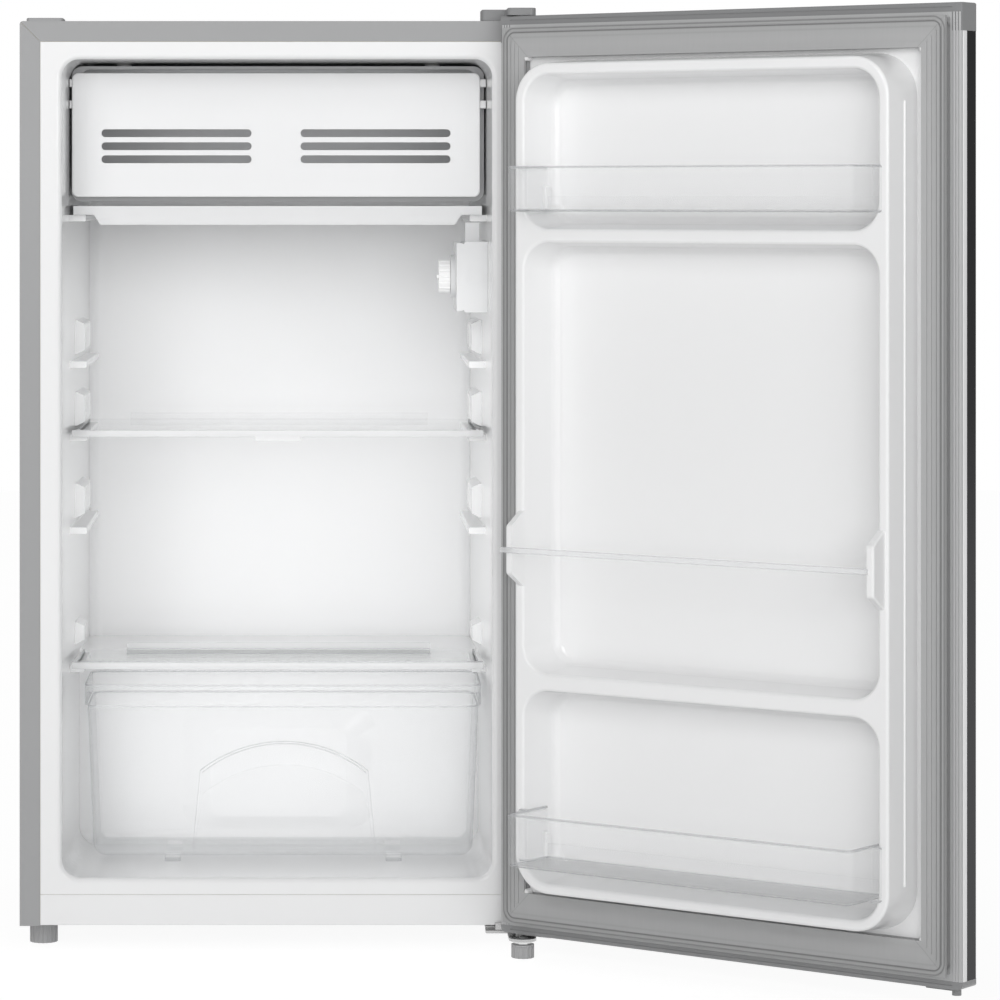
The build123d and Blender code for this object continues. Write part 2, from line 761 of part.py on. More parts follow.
def grip_outline(drop, narrow):
    """The arched finger grip on the drawer's front: sides flare down from an arch."""
    low = crisper_span()[0]
    spring = low + GRIP_SPRING - drop
    apex = low + GRIP_APEX - drop
    foot = low + GRIP_FOOT
    top, base = GRIP_HALF - narrow, GRIP_HALF + GRIP_FLARE - narrow
    x = CRISP_OFFSET + 1
    arch = ThreePointArc((x - top, spring), (x, apex), (x + top, spring))
    sides = Polyline((x + top, spring), (x + base, foot), (x - base, foot), (x - top, spring))
    return make_face([arch, sides])


def crisper_drawer():
    tub = crisper_shape(0) - crisper_shape(CRISP_WALL)
    front = FRONT_SET
    pocket = along_y(grip_outline(0, 0), front + CRISP_WALL / 2, front + GRIP_DEPTH)
    pocket = fillet(pocket.faces().sort_by(Axis.Y)[-1].edges(), 4)
    tub += pocket & crisper_shape(0)
    space = along_y(grip_outline(CRISP_WALL, CRISP_WALL), front + CRISP_WALL, front + GRIP_DEPTH - CRISP_WALL)
    tub -= space
    tub -= along_y(grip_outline(GRIP_BAND, 3), front - 5, front + CRISP_WALL + 1)
    low = CAV_BOTTOM + SLIDE_GAP
    top = crisper_span()[0] + CRISP_WALL / 2
    for x in (CRISP_OFFSET - CRISP_FOOT_X, CRISP_OFFSET + CRISP_FOOT_X):
        for y in (FRONT_SET + 28, FRONT_SET + CRISP_D - 34):
            tub += along_z(Pos(x, y) * RectangleRounded(15, 24, 4), low, top)
    return tub


# ---- Door, drawn shut ----
def door_outer_panel():
    """Stainless skin: face, rounded long edges and side returns."""
    outer = rect(-HALF, HALF, DOOR_OUT, DOOR_OUT + DOOR_RETURN)
    outer = fillet(outer.vertices().group_by(Axis.Y)[0], DOOR_EDGE_R)
    inner = rect(-HALF + DOOR_SHEET, HALF - DOOR_SHEET, DOOR_OUT + DOOR_SHEET, DOOR_OUT + DOOR_RETURN + 1)
    inner = fillet(inner.vertices().group_by(Axis.Y)[0], DOOR_EDGE_R - DOOR_SHEET)
    return along_z(outer - inner, PANEL_BOTTOM, PANEL_TOP) - cap_ears()


def door_edge_strips():
    """Bright rounded strips that close the skin's long edges."""
    y0, y1 = DOOR_OUT + DOOR_RETURN, DOOR_OUT + DOOR_RETURN + EDGE_STRIP
    strip = rect(HALF - STRIP_W, HALF, y0, y1)
    strip = fillet(strip.vertices().sort_by_distance((HALF, y1, 0))[0], 1.5)
    strips = both_sides(along_z(strip, PANEL_BOTTOM, PANEL_TOP))
    return group(*[piece - cap_ears() for piece in strips])


def door_frame():
    """Grey frame round the door's inner face that carries the gasket, ribbed along its long edges."""
    ring = rect(-HALF + 0.3, HALF - 0.3, PANEL_BOTTOM, PANEL_TOP)
    ring -= rect(-RIM_HALF, RIM_HALF, RIM_BOTTOM, RIM_TOP)
    frame = along_y(ring, DOOR_IN - FRAME_T, DOOR_IN)
    for k in range(3):
        rib = rod(HALF - 2.4 - FRAME_RIB_PITCH * k, DOOR_IN, PANEL_BOTTOM, PANEL_TOP, FRAME_RIB_R)
        for side in both_sides(rib):
            frame += side
    return frame - cap_ears()


def cap_plan():
    plan = rect(-HALF, HALF, CAP_OUT, DOOR_IN)
    return fillet(plan.vertices().group_by(Axis.Y)[0], DOOR_EDGE_R + CAP_PROUD)


def cap_ears():
    """The two ends of the top cap, which reach down over the door's edges."""
    whole = along_z(cap_plan(), DOOR_TOP - TOP_CAP_EAR, PANEL_TOP)
    return group(*both_sides(whole & block(HALF - EAR_W, HALF, CAP_OUT, DOOR_IN, CAB_BOTTOM, PANEL_TOP)))


def door_cap(top):
    """End cap across the door, with bores for the hinge bush and for the spare hole's plug."""
    low, high = (PANEL_TOP, DOOR_TOP) if top else (CAB_BOTTOM, PANEL_BOTTOM)
    cap = along_z(cap_plan(), low, high)
    if top:
        cap = chamfer(cap.faces().sort_by(Axis.Z)[-1].edges(), 1.0)
        for ear in cap_ears().solids():
            cap += ear
    else:
        cap &= along_y(rect(-HALF, HALF, low, high + 2 * BOTTOM_CAP_R, BOTTOM_CAP_R), CAP_OUT, DOOR_IN)
    middle = (low + high) / 2
    groove = rect(DOOR_IN - CAP_GROOVE, DOOR_IN + 1, middle - CAP_GROOVE / 2, middle + CAP_GROOVE / 2)
    cap -= along_x(groove, -HALF + EAR_W, HALF - EAR_W)
    for x, z0, z1 in bush_bores():
        cap -= rod(x, HINGE_Y, z0, z1, BUSH_R)
    return cap


def bush_bores():
    """Side position and span of the round bores in the two caps."""
    return (
        (HINGE_X, DOOR_TOP - BUSH_L, DOOR_TOP),
        (HINGE_X, CAB_BOTTOM, CAB_BOTTOM + BUSH_L),
        (-HINGE_X, PANEL_TOP, DOOR_TOP),
        (-HINGE_X, CAB_BOTTOM, PANEL_BOTTOM),
    )


def hinge_bushes():
    """Moulded bushes sunk in the caps at the hinge side."""
    bore = PIN_R + PIN_FIT
    upper = rod(HINGE_X, HINGE_Y, DOOR_TOP - BUSH_L, DOOR_TOP, BUSH_R) - rod(
        HINGE_X, HINGE_Y, DOOR_TOP - BUSH_L + 2, DOOR_TOP + 1, bore
    )
    lower = rod(HINGE_X, HINGE_Y, CAB_BOTTOM, CAB_BOTTOM + BUSH_L, BUSH_R) - rod(
        HINGE_X, HINGE_Y, CAB_BOTTOM - 1, CAB_BOTTOM + BUSH_L - 2, bore
    )
    return group(upper, lower)


def hinge_hole_plugs():
    """Plugs in the unused hinge holes; the lower one stands proud as a peg with a tab."""
    upper = rod(-HINGE_X, HINGE_Y, PANEL_TOP, DOOR_TOP, BUSH_R)
    lower = rod(-HINGE_X, HINGE_Y, CAB_BOTTOM, PANEL_BOTTOM, BUSH_R)
    lower += rod(-HINGE_X, HINGE_Y, CAB_BOTTOM - PLUG_L, CAB_BOTTOM + 1, PLUG_R)
    tab = rect(-HINGE_X - 2, -HINGE_X + 27, HINGE_Y - 7, HINGE_Y + 7, 3)
    lower += along_z(tab, CAB_BOTTOM - 2.5, CAB_BOTTOM)
    return group(upper, lower)


def door_form(inset):
    """Everything behind the door liner's visible face, drawn back by inset: rim, dyke, horns, pockets."""
    face = RIM_Y - inset
    rim = along_y(rect(-RIM_HALF, RIM_HALF, RIM_BOTTOM, RIM_TOP), DOOR_IN - 3, face)
    crest = CREST_Y - inset
    half = DYKE_HALF - inset
    low, high = DYKE_BOTTOM + inset, DYKE_TOP - inset
    base = Plane.XZ.offset(-face) * rect(
        -half - DYKE_DRAFT, half + DYKE_DRAFT, low - DYKE_DRAFT, high + DYKE_DRAFT, DYKE_R + DYKE_DRAFT
    )
    top = Plane.XZ.offset(-crest) * rect(-half, half, low, high, DYKE_R)
    dyke = loft([base, top], ruled=True)
    hollows = [pocket(z0 - inset, z1 + inset, inset) for z0, z1 in pockets()]
    for hollow in hollows:
        dyke -= hollow
    if not inset:
        edges = dyke.edges().filter_by(lambda edge: abs(edge.center().Y - crest) < 0.05)
        dyke = fillet(edges, CREST_R)
    for horn in horns(inset):
        dyke += horn - hollows[1]
    return rim + dyke


def pocket_half_at(y):
    """Half the pockets' width at depth y in the shut door."""
    return POCKET_HALF - POCKET_DRAFT * (CREST_Y - y) / (CREST_Y - DOOR_IN)


def pockets():
    """Lower and upper limits of the three hollows between the dyke's cross ribs."""
    return (
        (DYKE_BOTTOM + BOTTOM_BAND, RIB_2_Z - RIB_2_H / 2),
        (RIB_2_Z + RIB_2_H / 2, RIB_1_Z - RIB_1_H / 2),
        (RIB_1_Z + RIB_1_H / 2, DYKE_TOP - TOP_BAND),
    )


def pocket(z0, z1, inset):
    """One hollow, tapering in towards its floor, open upwards past the crest."""
    half = POCKET_HALF + inset
    floor = DOOR_IN - inset
    rise = CREST_Y - inset - floor
    narrow = POCKET_DRAFT
    base = Plane.XZ.offset(-floor) * rect(
        -half + narrow, half - narrow, z0 + narrow, z1 - narrow, POCKET_R - narrow / 2 + inset
    )
    mouth_plane = Plane.XZ.offset(-(floor + rise))
    top = mouth_plane * rect(-half, half, z0, z1, POCKET_R + inset)
    hollow = loft([base, top], ruled=True)
    hollow = fillet(hollow.faces().sort_by(Axis.Y)[0].edges(), ROOT_R + inset)
    field = rect(-half, half, z0, z1, POCKET_R + inset)
    return hollow + along_y(field, floor + rise, floor + rise + HORN_H + 5)


def horns(inset):
    """The raised stretch of each upright that carries the bottle rail."""
    crest, tip = CREST_Y - inset, HORN_Y - inset
    low, high = HORN_Z - HORN_FLAT / 2 + inset / 2, HORN_Z + HORN_FLAT / 2 - inset / 2
    side_view = outline(
        (crest - 10, low - HORN_RAMP),
        (crest, low - HORN_RAMP),
        (tip, low),
        (tip, high),
        (crest, high + HORN_RAMP),
        (crest - 10, high + HORN_RAMP),
    )
    form = along_x(side_view, POCKET_HALF - 20, DYKE_HALF - HORN_INSET - inset)
    if not inset:
        corners = form.edges().filter_by(Axis.X).group_by(Axis.Y)[-1]
        form = fillet(corners, HORN_R)
        form = fillet(form.faces().sort_by(Axis.Y)[-1].edges().sort_by(Axis.X)[-1], HORN_EDGE_R)
    return both_sides(form)


def door_liner():
    sheet = door_form(0) - door_form(LINER_T)
    sheet &= block(-RIM_HALF, RIM_HALF, DOOR_IN - LINER_T, HORN_Y + 5, RIM_BOTTOM, RIM_TOP)
    bead_x = DYKE_HALF + DYKE_DRAFT * (1 - BEAD_LIFT / DYKE_H)
    bead = rod(bead_x, RIM_Y + BEAD_LIFT, DYKE_BOTTOM + BEAD_MARGIN, DYKE_TOP - BEAD_MARGIN, BEAD_R)
    for side in both_sides(bead):
        sheet += side
    for z in (UPPER_BIN_Z, LOWER_BIN_Z):
        for lug in both_sides(bin_lug(z)):
            sheet += lug
    return sheet


def bin_lug(bin_z):
    """Wedge-shaped lug on an upright's inner wall, over which a bin's notch drops."""
    y0 = RIM_Y + LUG_IN
    wall = pocket_half_at(y0)
    lug = block(wall - LUG_REACH, wall + LINER_T - 0.2, y0, y0 + LUG_W, bin_z, bin_z + LUG_TALL)
    return chamfer(lug.faces().sort_by(Axis.X)[0].edges().sort_by(Axis.Z)[-1], 2.0)


def door_foam(form):
    inside = HALF - STRIP_W - 0.2
    plan = rect(-inside, inside, DOOR_OUT + DOOR_SHEET, DOOR_IN - FRAME_T)
    foam = along_z(chamfer(plan.vertices().group_by(Axis.Y)[0], DOOR_EDGE_R), PANEL_BOTTOM, PANEL_TOP)
    foam -= cap_ears()
    foam += form & block(-RIM_HALF, RIM_HALF, DOOR_IN - 3, HORN_Y + 5, RIM_BOTTOM, RIM_TOP)
    for x, z0, z1 in bush_bores():
        foam -= rod(x, HINGE_Y, z0, z1, BUSH_R)
    for z in (UPPER_BIN_Z, LOWER_BIN_Z):
        for lug in both_sides(bin_lug(z)):
            foam -= lug
    return foam


def frame_ring(grow, shrink, y0, y1):
    """A band round the gasket's path between two offsets from its outer edge."""
    ring = rect(-GASKET_X + grow, GASKET_X - grow, GASKET_BOTTOM + grow, GASKET_TOP - grow)
    width = GASKET_W - shrink
    ring -= rect(
        -GASKET_X + width,
        GASKET_X - width,
        GASKET_BOTTOM + GASKET_BOTTOM_W - shrink,
        GASKET_TOP - GASKET_TOP_W + shrink,
    )
    return along_y(ring, y0, y1)


def door_gasket():
    """Magnetic seal: seat, folded bellows and the ribbed magnet sleeve that meets the cabinet."""
    face = -GASKET_GAP
    seat = frame_ring(1.5, 1.5, DOOR_IN, DOOR_IN + GASKET_BASE)
    bellows = frame_ring(5.0, 4.0, DOOR_IN + GASKET_BASE, face - GASKET_FACE)
    sleeve = frame_ring(0, 0, face - GASKET_FACE, face)
    for k in range(4):
        start = 3.2 + 4.6 * k
        groove = frame_ring(start, GASKET_W - start - 0.8, face - 0.5, face + 1)
        sleeve -= groove
    return seat + bellows + sleeve


def bin_block(plan, z0, z1, r):
    """A bin's plan made solid, with its two lower long corners rounded."""
    body = along_z(plan, z0, z1)
    ends = body.edges().group_by(Axis.Z)[0].filter_by(Axis.Y)
    return fillet(ends, r)


def bin_tray(z, height):
    """Clear bin: floor, front and sides, with ears that lap the dyke's crest and notches for its lugs."""
    lug_y = RIM_Y + LUG_IN
    front, back = RIM_Y + BIN_FRONT - 1, RIM_Y + BIN_BACK
    half = pocket_half_at(back) - BIN_GAP
    plan = rect(-half, half, back, front)
    plan = fillet(plan.vertices().group_by(Axis.Y)[-1], BIN_R)
    inner = rect(-half + BIN_WALL, half - BIN_WALL, back + BIN_WALL, front - BIN_WALL)
    inner = fillet(inner.vertices().group_by(Axis.Y)[-1], BIN_R - BIN_WALL)
    tray = bin_block(plan, z, z + height, BIN_FOOT_R)
    tray -= bin_block(inner, z + BIN_WALL, z + height + 1, BIN_FOOT_R - BIN_WALL)
    tray -= block(-half + BIN_WALL, half - BIN_WALL, back - 1, back + BIN_WALL + 1, z + 14, z + height + 1)
    rim = plan - offset(plan, amount=-BIN_WALL - 1.0)
    rim -= rect(-half, half, back - 1, back + BIN_WALL + 2)
    tray += along_z(rim, z + height - 2.5, z + height)
    ear = block(half - 1, half + BIN_EAR, CREST_Y + SEAM, CREST_Y + SEAM + BIN_WALL, z, z + height)
    for side in both_sides(fillet(ear.edges().filter_by(Axis.Y).group_by(Axis.X)[-1], 2.5)):
        tray += side
    notch_in = pocket_half_at(lug_y) - LUG_REACH - SEAM
    notch = block(notch_in, half + 1, lug_y - SEAM, lug_y + LUG_W + SEAM, z - 1, z + LUG_TALL + SEAM)
    for side in both_sides(notch):
        tray -= side
    return tray


def bottle_rail():
    """Clear bar laid across the horns, with a stop at its free end."""
    left = -(POCKET_HALF + RAIL_FREE)
    right = DYKE_HALF - HORN_INSET + RAIL_OVER
    bar = rect(HORN_Y, HORN_Y + RAIL_T, HORN_Z - RAIL_H / 2, HORN_Z + RAIL_H / 2, 1.2)
    return along_x(bar, left, right)


# ---- Hinges ----
def screw(x, y, z, up=True):
    """Hex-washer screw with its head on the face at z."""
    head = SCREW_HEAD_H if up else -SCREW_HEAD_H
    shank = -SCREW_LEN if up else SCREW_LEN
    hexagon = Pos(x, y) * RegularPolygon(SCREW_HEAD_R * 0.8, 6)
    body = extrude(Plane.XY.offset(z) * hexagon, amount=head)
    body += extrude(Plane.XY.offset(z) * (Pos(x, y) * Circle(SCREW_HEAD_R)), amount=head * 0.35)
    return body + extrude(Plane.XY.offset(z) * (Pos(x, y) * Circle(SCREW_R)), amount=shank)


def screw_bores():
    """Holes the hinge screws fill in the cabinet's sheets and foam."""
    bores = [rod(x, y, CAB_TOP - SCREW_LEN, CAB_TOP + 1, SCREW_R) for x, y in top_screw_places()]
    bores += [rod(x, y, CAB_BOTTOM - 1, CAB_BOTTOM + SCREW_LEN, SCREW_R) for x, y in low_screw_places()]
    return group(*bores)


def top_screw_places():
    x1 = HALF - TOP_PLATE_W / 2
    return [(x1 - 12, 10), (x1 + 10, 10), (x1, 25)]


def top_arm():
    """Underside and top of the hinge arm, which passes just over the door's cap."""
    low = DOOR_TOP + ARM_GAP
    return low, low + TOP_PLATE_T


def top_hinge_bracket():
    """Plate on the cabinet's top, stepped up to an arm over the door."""
    right = HALF - 1.5
    front = 2.0
    low, high = top_arm()
    plate = rect(right - TOP_PLATE_W, right, front, TOP_PLATE_D, 3)
    for x, y in top_screw_places():
        plate -= Pos(x, y) * Circle(SCREW_R)
    left, far = HINGE_X - TOP_ARM_W / 2, HINGE_X + TOP_ARM_W / 2
    arm = rect(left, far, HINGE_Y, front + TOP_PLATE_T) + Pos(HINGE_X, HINGE_Y) * Circle(TOP_ARM_W / 2)
    arm -= Pos(HINGE_X, HINGE_Y) * Circle(PIN_R)
    step = block(left, far, front, front + TOP_PLATE_T, CAB_TOP, high)
    return along_z(plate, CAB_TOP, CAB_TOP + TOP_PLATE_T) + along_z(arm, low, high) + step


def top_hinge_cover():
    """Moulded cover over the bracket and its arm, open over the pin."""
    right = HALF - 0.5
    wall = COVER_WALL + SEAM
    base = CAB_TOP + SEAM
    roof = CAB_TOP + COVER_H
    low, high = top_arm()
    plate = rect(right - TOP_PLATE_W - 2 * wall, right, 1, TOP_PLATE_D + wall, 4)
    reach = TOP_ARM_W / 2 + wall
    arm = rect(HINGE_X - reach, min(HINGE_X + reach, right), HINGE_Y - reach, 6, 5)
    cover = along_z(plate, base, roof) + along_z(arm, low, roof)
    cover = fillet(cover.faces().sort_by(Axis.Z)[-1].edges(), 1.0)
    room = rect(right - TOP_PLATE_W - wall, right - 0.7, 1.7, TOP_PLATE_D + SEAM, 2)
    inner = TOP_ARM_W / 2 + SEAM
    room += rect(HINGE_X - inner, HINGE_X + inner, HINGE_Y - inner, 5, 3)
    cover -= along_z(room, base - 1, high + SEAM)
    return cover - rod(HINGE_X, HINGE_Y, base, roof + 1, PIN_R + 1.2)


def top_hinge_pin():
    high = top_arm()[1]
    head = rod(HINGE_X, HINGE_Y, high, CAB_TOP + COVER_H - 0.8, PIN_R + 0.6)
    return head + rod(HINGE_X, HINGE_Y, DOOR_TOP - BUSH_L + 3, high, PIN_R)


def spare_hinge_cover():
    """Low cap over the unused hinge holes at the cabinet's other corner."""
    plan = rect(-HALF + 6, -HALF + 40, 2, TOP_PLATE_D + 2, 4)
    cap = along_z(plan, CAB_TOP, CAB_TOP + 3)
    return fillet(cap.faces().sort_by(Axis.Z)[-1].edges(), 1.2)


def low_arm_top():
    return CAB_BOTTOM - LOW_PLATE_T


def bottom_hinge_bracket():
    """Joggled plate: bolted under the base, then forward under the door, with an upturned tab."""
    right = HALF - 1.0
    under = rect(right - LOW_PLATE_W, right, 1.0, LOW_PLATE_D, 2)
    top = low_arm_top()
    arm = rect(HINGE_X - LOW_ARM_W / 2, HINGE_X + LOW_ARM_W / 2, HINGE_Y - LOW_ARM_OVER, 1.0)
    arm = fillet(arm.vertices().group_by(Axis.Y)[0], LOW_ARM_W / 2 - 0.5)
    arm += rect(right - LOW_PLATE_W, right, DOOR_IN + 2, 1.0, 2)
    for x, y in low_screw_places():
        under -= Pos(x, y) * Circle(SCREW_R)
    plate = along_z(under, top, CAB_BOTTOM)
    arm -= Pos(HINGE_X, HINGE_Y) * Circle(PIN_R)
    arm -= Pos(HINGE_X, HINGE_FOOT_Y) * Circle(STUD_R)
    plate += along_z(arm, top - LOW_PLATE_T, top)
    plate += block(right - LOW_PLATE_W, right, -1.0, 3.0, top - LOW_PLATE_T, top)
    plate += block(right - LOW_PLATE_W, right, 1.0, 3.0, top - LOW_PLATE_T, CAB_BOTTOM)
    tab = block(right - LOW_PLATE_W + 9, right - LOW_PLATE_W + 16, DOOR_IN + 4, -2, top - 1, CAB_BOTTOM + 4)
    return plate + tab


def low_screw_places():
    x = HALF - 1 - LOW_PLATE_W / 2
    return [(x - 12, 20), (x + 10, 20)]


def bottom_hinge_pin():
    top = low_arm_top()
    collar = rod(HINGE_X, HINGE_Y, top, CAB_BOTTOM - SEAM, PIN_R + 2.5)
    return collar + rod(HINGE_X, HINGE_Y, top - LOW_PLATE_T, CAB_BOTTOM + BUSH_L - 3, PIN_R)


def door_stop_plate():
    """Steel tongue under the door beside the pin that meets the bracket when the door is wide open."""
    x0 = HINGE_X - STOP_LEN
    plan = rect(x0, HINGE_X - PIN_R - 5, HINGE_Y - 9, HINGE_Y + 9, 3)
    return along_z(plan, CAB_BOTTOM - 1.5, CAB_BOTTOM)


# ---- Feet ----
def ribbed(x, y, z0, z1, r, ribs, taper):
    """A levelling foot's turned body with finger ribs and a wider collar."""
    plan = Circle(r - 0.7)
    for i in range(ribs):
        plan += Rot(0, 0, i * 360 / ribs) * Pos(r - 0.8, 0) * Circle(0.75)
    body = extrude(Plane.XY.offset(z0) * (Pos(x, y) * plan), amount=z1 - z0, taper=-taper)
    return body


def foot_place():
    return -HALF + FOOT_INSET_X, FOOT_INSET_Y


def foot_bore():
    """The round hole through the base for the front foot's socket."""
    return rod(*foot_place(), CAB_BOTTOM - 1, CAB_BOTTOM + SOCKET_H, STUD_R + SOCKET_WALL)


def front_foot():
    x, y = foot_place()
    top = CAB_BOTTOM - SEAM
    foot = ribbed(x, y, 0, top - 3, FOOT_R - FOOT_TAPER, FOOT_RIBS, 0)
    foot += rod(x, y, top - 3, top, FOOT_R)
    return foot + rod(x, y, top, CAB_BOTTOM + 14, STUD_R)


def foot_socket():
    """Threaded insert in the base that takes the front foot's stud."""
    x, y = foot_place()
    sleeve = rod(x, y, CAB_BOTTOM + SHEET, CAB_BOTTOM + SOCKET_H, STUD_R + SOCKET_WALL)
    return sleeve - rod(x, y, CAB_BOTTOM, CAB_BOTTOM + SOCKET_H - 2, STUD_R + PIN_FIT)


def hinge_foot():
    top = low_arm_top() - LOW_PLATE_T - NUT_H
    foot = ribbed(HINGE_X, HINGE_FOOT_Y, 0, top - 1.2, HINGE_FOOT_R, 16, 0)
    foot += rod(HINGE_X, HINGE_FOOT_Y, top - 1.4, top - 0.2, HINGE_FOOT_R)
    return foot + rod(HINGE_X, HINGE_FOOT_Y, top - 1, CAB_BOTTOM - 2.7, STUD_R - PIN_FIT)


def hinge_foot_nut():
    top = low_arm_top() - LOW_PLATE_T
    nut = Pos(HINGE_X, HINGE_FOOT_Y) * (RegularPolygon(NUT_AF / 2, 6, major_radius=False) - Circle(STUD_R))
    return along_z(nut, top - NUT_H, top)


def rear_feet():
    x, y = HALF - REAR_FOOT_X, CAB_D - REAR_FOOT_Y
    plate = CAB_BOTTOM + SHEET
    upright = (Align.CENTER, Align.CENTER, Align.MIN)
    foot = Pos(x, y, 0) * Cone(REAR_FOOT_R, REAR_FOOT_R + 2, plate, align=upright)
    return group(*both_sides(foot))


# ---- Compressor bay ----
def bay_plate():
    """Cross plate carrying the compressor, with turned-up front and rear edges."""
    low = CAB_BOTTOM + SHEET
    front, back = BAY_FRONT + 6, CAB_D - 3
    half = HALF - SHEET - SEAM
    section = outline(
        (front, low),
        (back, low),
        (back, low + PLATE_FLANGE),
        (back - PLATE_T, low + PLATE_FLANGE),
        (back - PLATE_T, low + PLATE_T),
        (front + PLATE_T, low + PLATE_T),
        (front + PLATE_T, low + PLATE_FLANGE),
        (front, low + PLATE_FLANGE),
    )
    return along_x(section, -half, half)


def comp_place():
    """Centre depth of the compressor and the height of its underside."""
    return CAB_D - BAY_DEPTH / 2, CAB_BOTTOM + SHEET + PLATE_T + GROMMET_H


def compressor():
    """Welded steel shell with a seam round it."""
    y, base = comp_place()
    oval = Pos(COMP_X, y) * Ellipse(COMP_W / 2, COMP_D / 2)
    shell = along_z(oval, base, base + COMP_H)
    shell = fillet(shell.faces().sort_by(Axis.Z)[-1].edges(), COMP_R)
    shell = fillet(shell.faces().sort_by(Axis.Z)[0].edges(), COMP_R * 0.6)
    core = Pos(COMP_X, y) * Ellipse(COMP_W / 2 - COMP_WALL, COMP_D / 2 - COMP_WALL)
    shell -= along_z(core, base + COMP_H * 0.2, base + COMP_H - COMP_R)
    seam = Pos(COMP_X, y) * Ellipse(COMP_W / 2 + 3, COMP_D / 2 + 3)
    shell += along_z(seam, base + COMP_H * 0.58, base + COMP_H * 0.58 + 4)
    return shell


def compressor_carrier():
    """Plate under the compressor that stands on the four mounts."""
    y, base = comp_place()
    plate = Pos(COMP_X, y) * RectangleRounded(2 * LEG_X + 26, 2 * LEG_Y + 24, 10)
    for place in leg_places():
        plate -= Pos(*place) * Circle(GROMMET_R - 4)
    return along_z(plate, base - LEG_T, base)


def leg_places():
    y = comp_place()[0]
    return [(COMP_X + sx * LEG_X, y + sy * LEG_Y) for sx in (-1, 1) for sy in (-1, 1)]


def grommets():
    """Rubber mounts, waisted to hold the compressor's carrier."""
    base = comp_place()[1]
    foot = CAB_BOTTOM + SHEET + PLATE_T
    rings = []
    for x, y in leg_places():
        ring = rod(x, y, foot, base - LEG_T, GROMMET_R)
        ring += rod(x, y, base - LEG_T, base, GROMMET_R - 4)
        ring += rod(x, y, base, base + 5, GROMMET_R - 1)
        rings.append(ring)
    return group(*rings)


def relay_cover():
    """Snap-on cover over the compressor's terminals, with the supply lead's gland below it."""
    y, base = comp_place()
    x = COMP_X + COMP_W / 2
    box = block(x - 14, x + 30, y - 26, y + 26, base + 30, base + 92)
    box = fillet(box.faces().sort_by(Axis.X)[-1].edges(), 5)
    oval = Pos(COMP_X, y) * Ellipse(COMP_W / 2 + 3.2, COMP_D / 2 + 3.2)
    box -= along_z(oval, base, base + COMP_H)
    gland = rod(x + 18, y, base + 18, base + 30, 6) + rod(x + 18, y, base + 24, base + 30, 8)
    return box + (gland - rod(x + 18, y, base + 10, base + 26, 3.4))


def water_pan():
    """Pan on top of the compressor where meltwater dries off."""
    y, base = comp_place()
    low = base + COMP_H
    high = BAY_TOP - 1 - 6
    pan = along_z(Pos(COMP_X, y) * RectangleRounded(PAN_W, PAN_D, 12), low, min(low + PAN_H, high))
    inner = Pos(COMP_X, y) * RectangleRounded(PAN_W - 2 * PAN_T, PAN_D - 2 * PAN_T, 12 - PAN_T)
    return pan - along_z(inner, low + PAN_T, low + PAN_H + 5)


def tube(points, radius, r=TUBE_R):
    """A drawn tube along straight runs joined by bends."""
    path = FilletPolyline(*points, radius=radius)
    start = path @ 0
    face = Plane(origin=start, z_dir=path % 0) * Circle(r)
    return sweep(face, path=path)


def refrigerant_tubes():
    """Discharge and suction lines between the compressor, the dryer and the cabinet's wall."""
    y, base = comp_place()
    left = COMP_X - COMP_W / 2
    wall = BAY_FRONT + 1
    discharge = tube(
        [
            (left + 6, y + 18, base + 50),
            (left - 22, y + 18, base + 50),
            (left - 22, y + 18, base + 110),
            (left - 22, wall, base + 110),
        ],
        10,
    )
    suction = tube(
        [
            (left + 6, y - 18, base + 66),
            (left - 40, y - 18, base + 66),
            (left - 40, y - 18, base + 138),
            (left - 40, wall, base + 138),
        ],
        10,
    )
    shell = compressor()
    return group(discharge - shell, suction - shell)


def filter_dryer():
    """Copper dryer hung beside the relay, spun down to a tube at each end and clipped to the bay's wall."""
    x, y = HALF - 52, BAY_FRONT + 26
    z0 = CAB_BOTTOM + 60
    profile = Polyline(
        (0, 0),
        (TUBE_R, 0),
        (TUBE_R, 14),
        (DRYER_R, 22),
        (DRYER_R, 22 + DRYER_L - 20),
        (TUBE_R - 1, 22 + DRYER_L - 10),
        (TUBE_R - 1, 22 + DRYER_L + 20),
        (0, 22 + DRYER_L + 20),
        close=True,
    )
    body = revolve(Plane.XZ * make_face(profile), axis=Axis.Z)
    clip = block(-DRYER_R - 2, DRYER_R + 2, BAY_FRONT + 1 - y, 4, 55, 67) - rod(0, 0, 50, 70, DRYER_R)
    return Pos(x, y, z0) * (body + clip)


def drain_spout():
    """Moulded spout that leads meltwater from the bay's roof down into the pan."""
    y, base = comp_place()
    top = BAY_TOP - 1
    spout = rod(COMP_X + 30, y, top - 10, top, 5) - rod(COMP_X + 30, y, top - 11, top + 1, 3.4)
    return spout + (rod(COMP_X + 30, y, top - 2, top, 9) - rod(COMP_X + 30, y, top - 3, top + 1, 3.4))


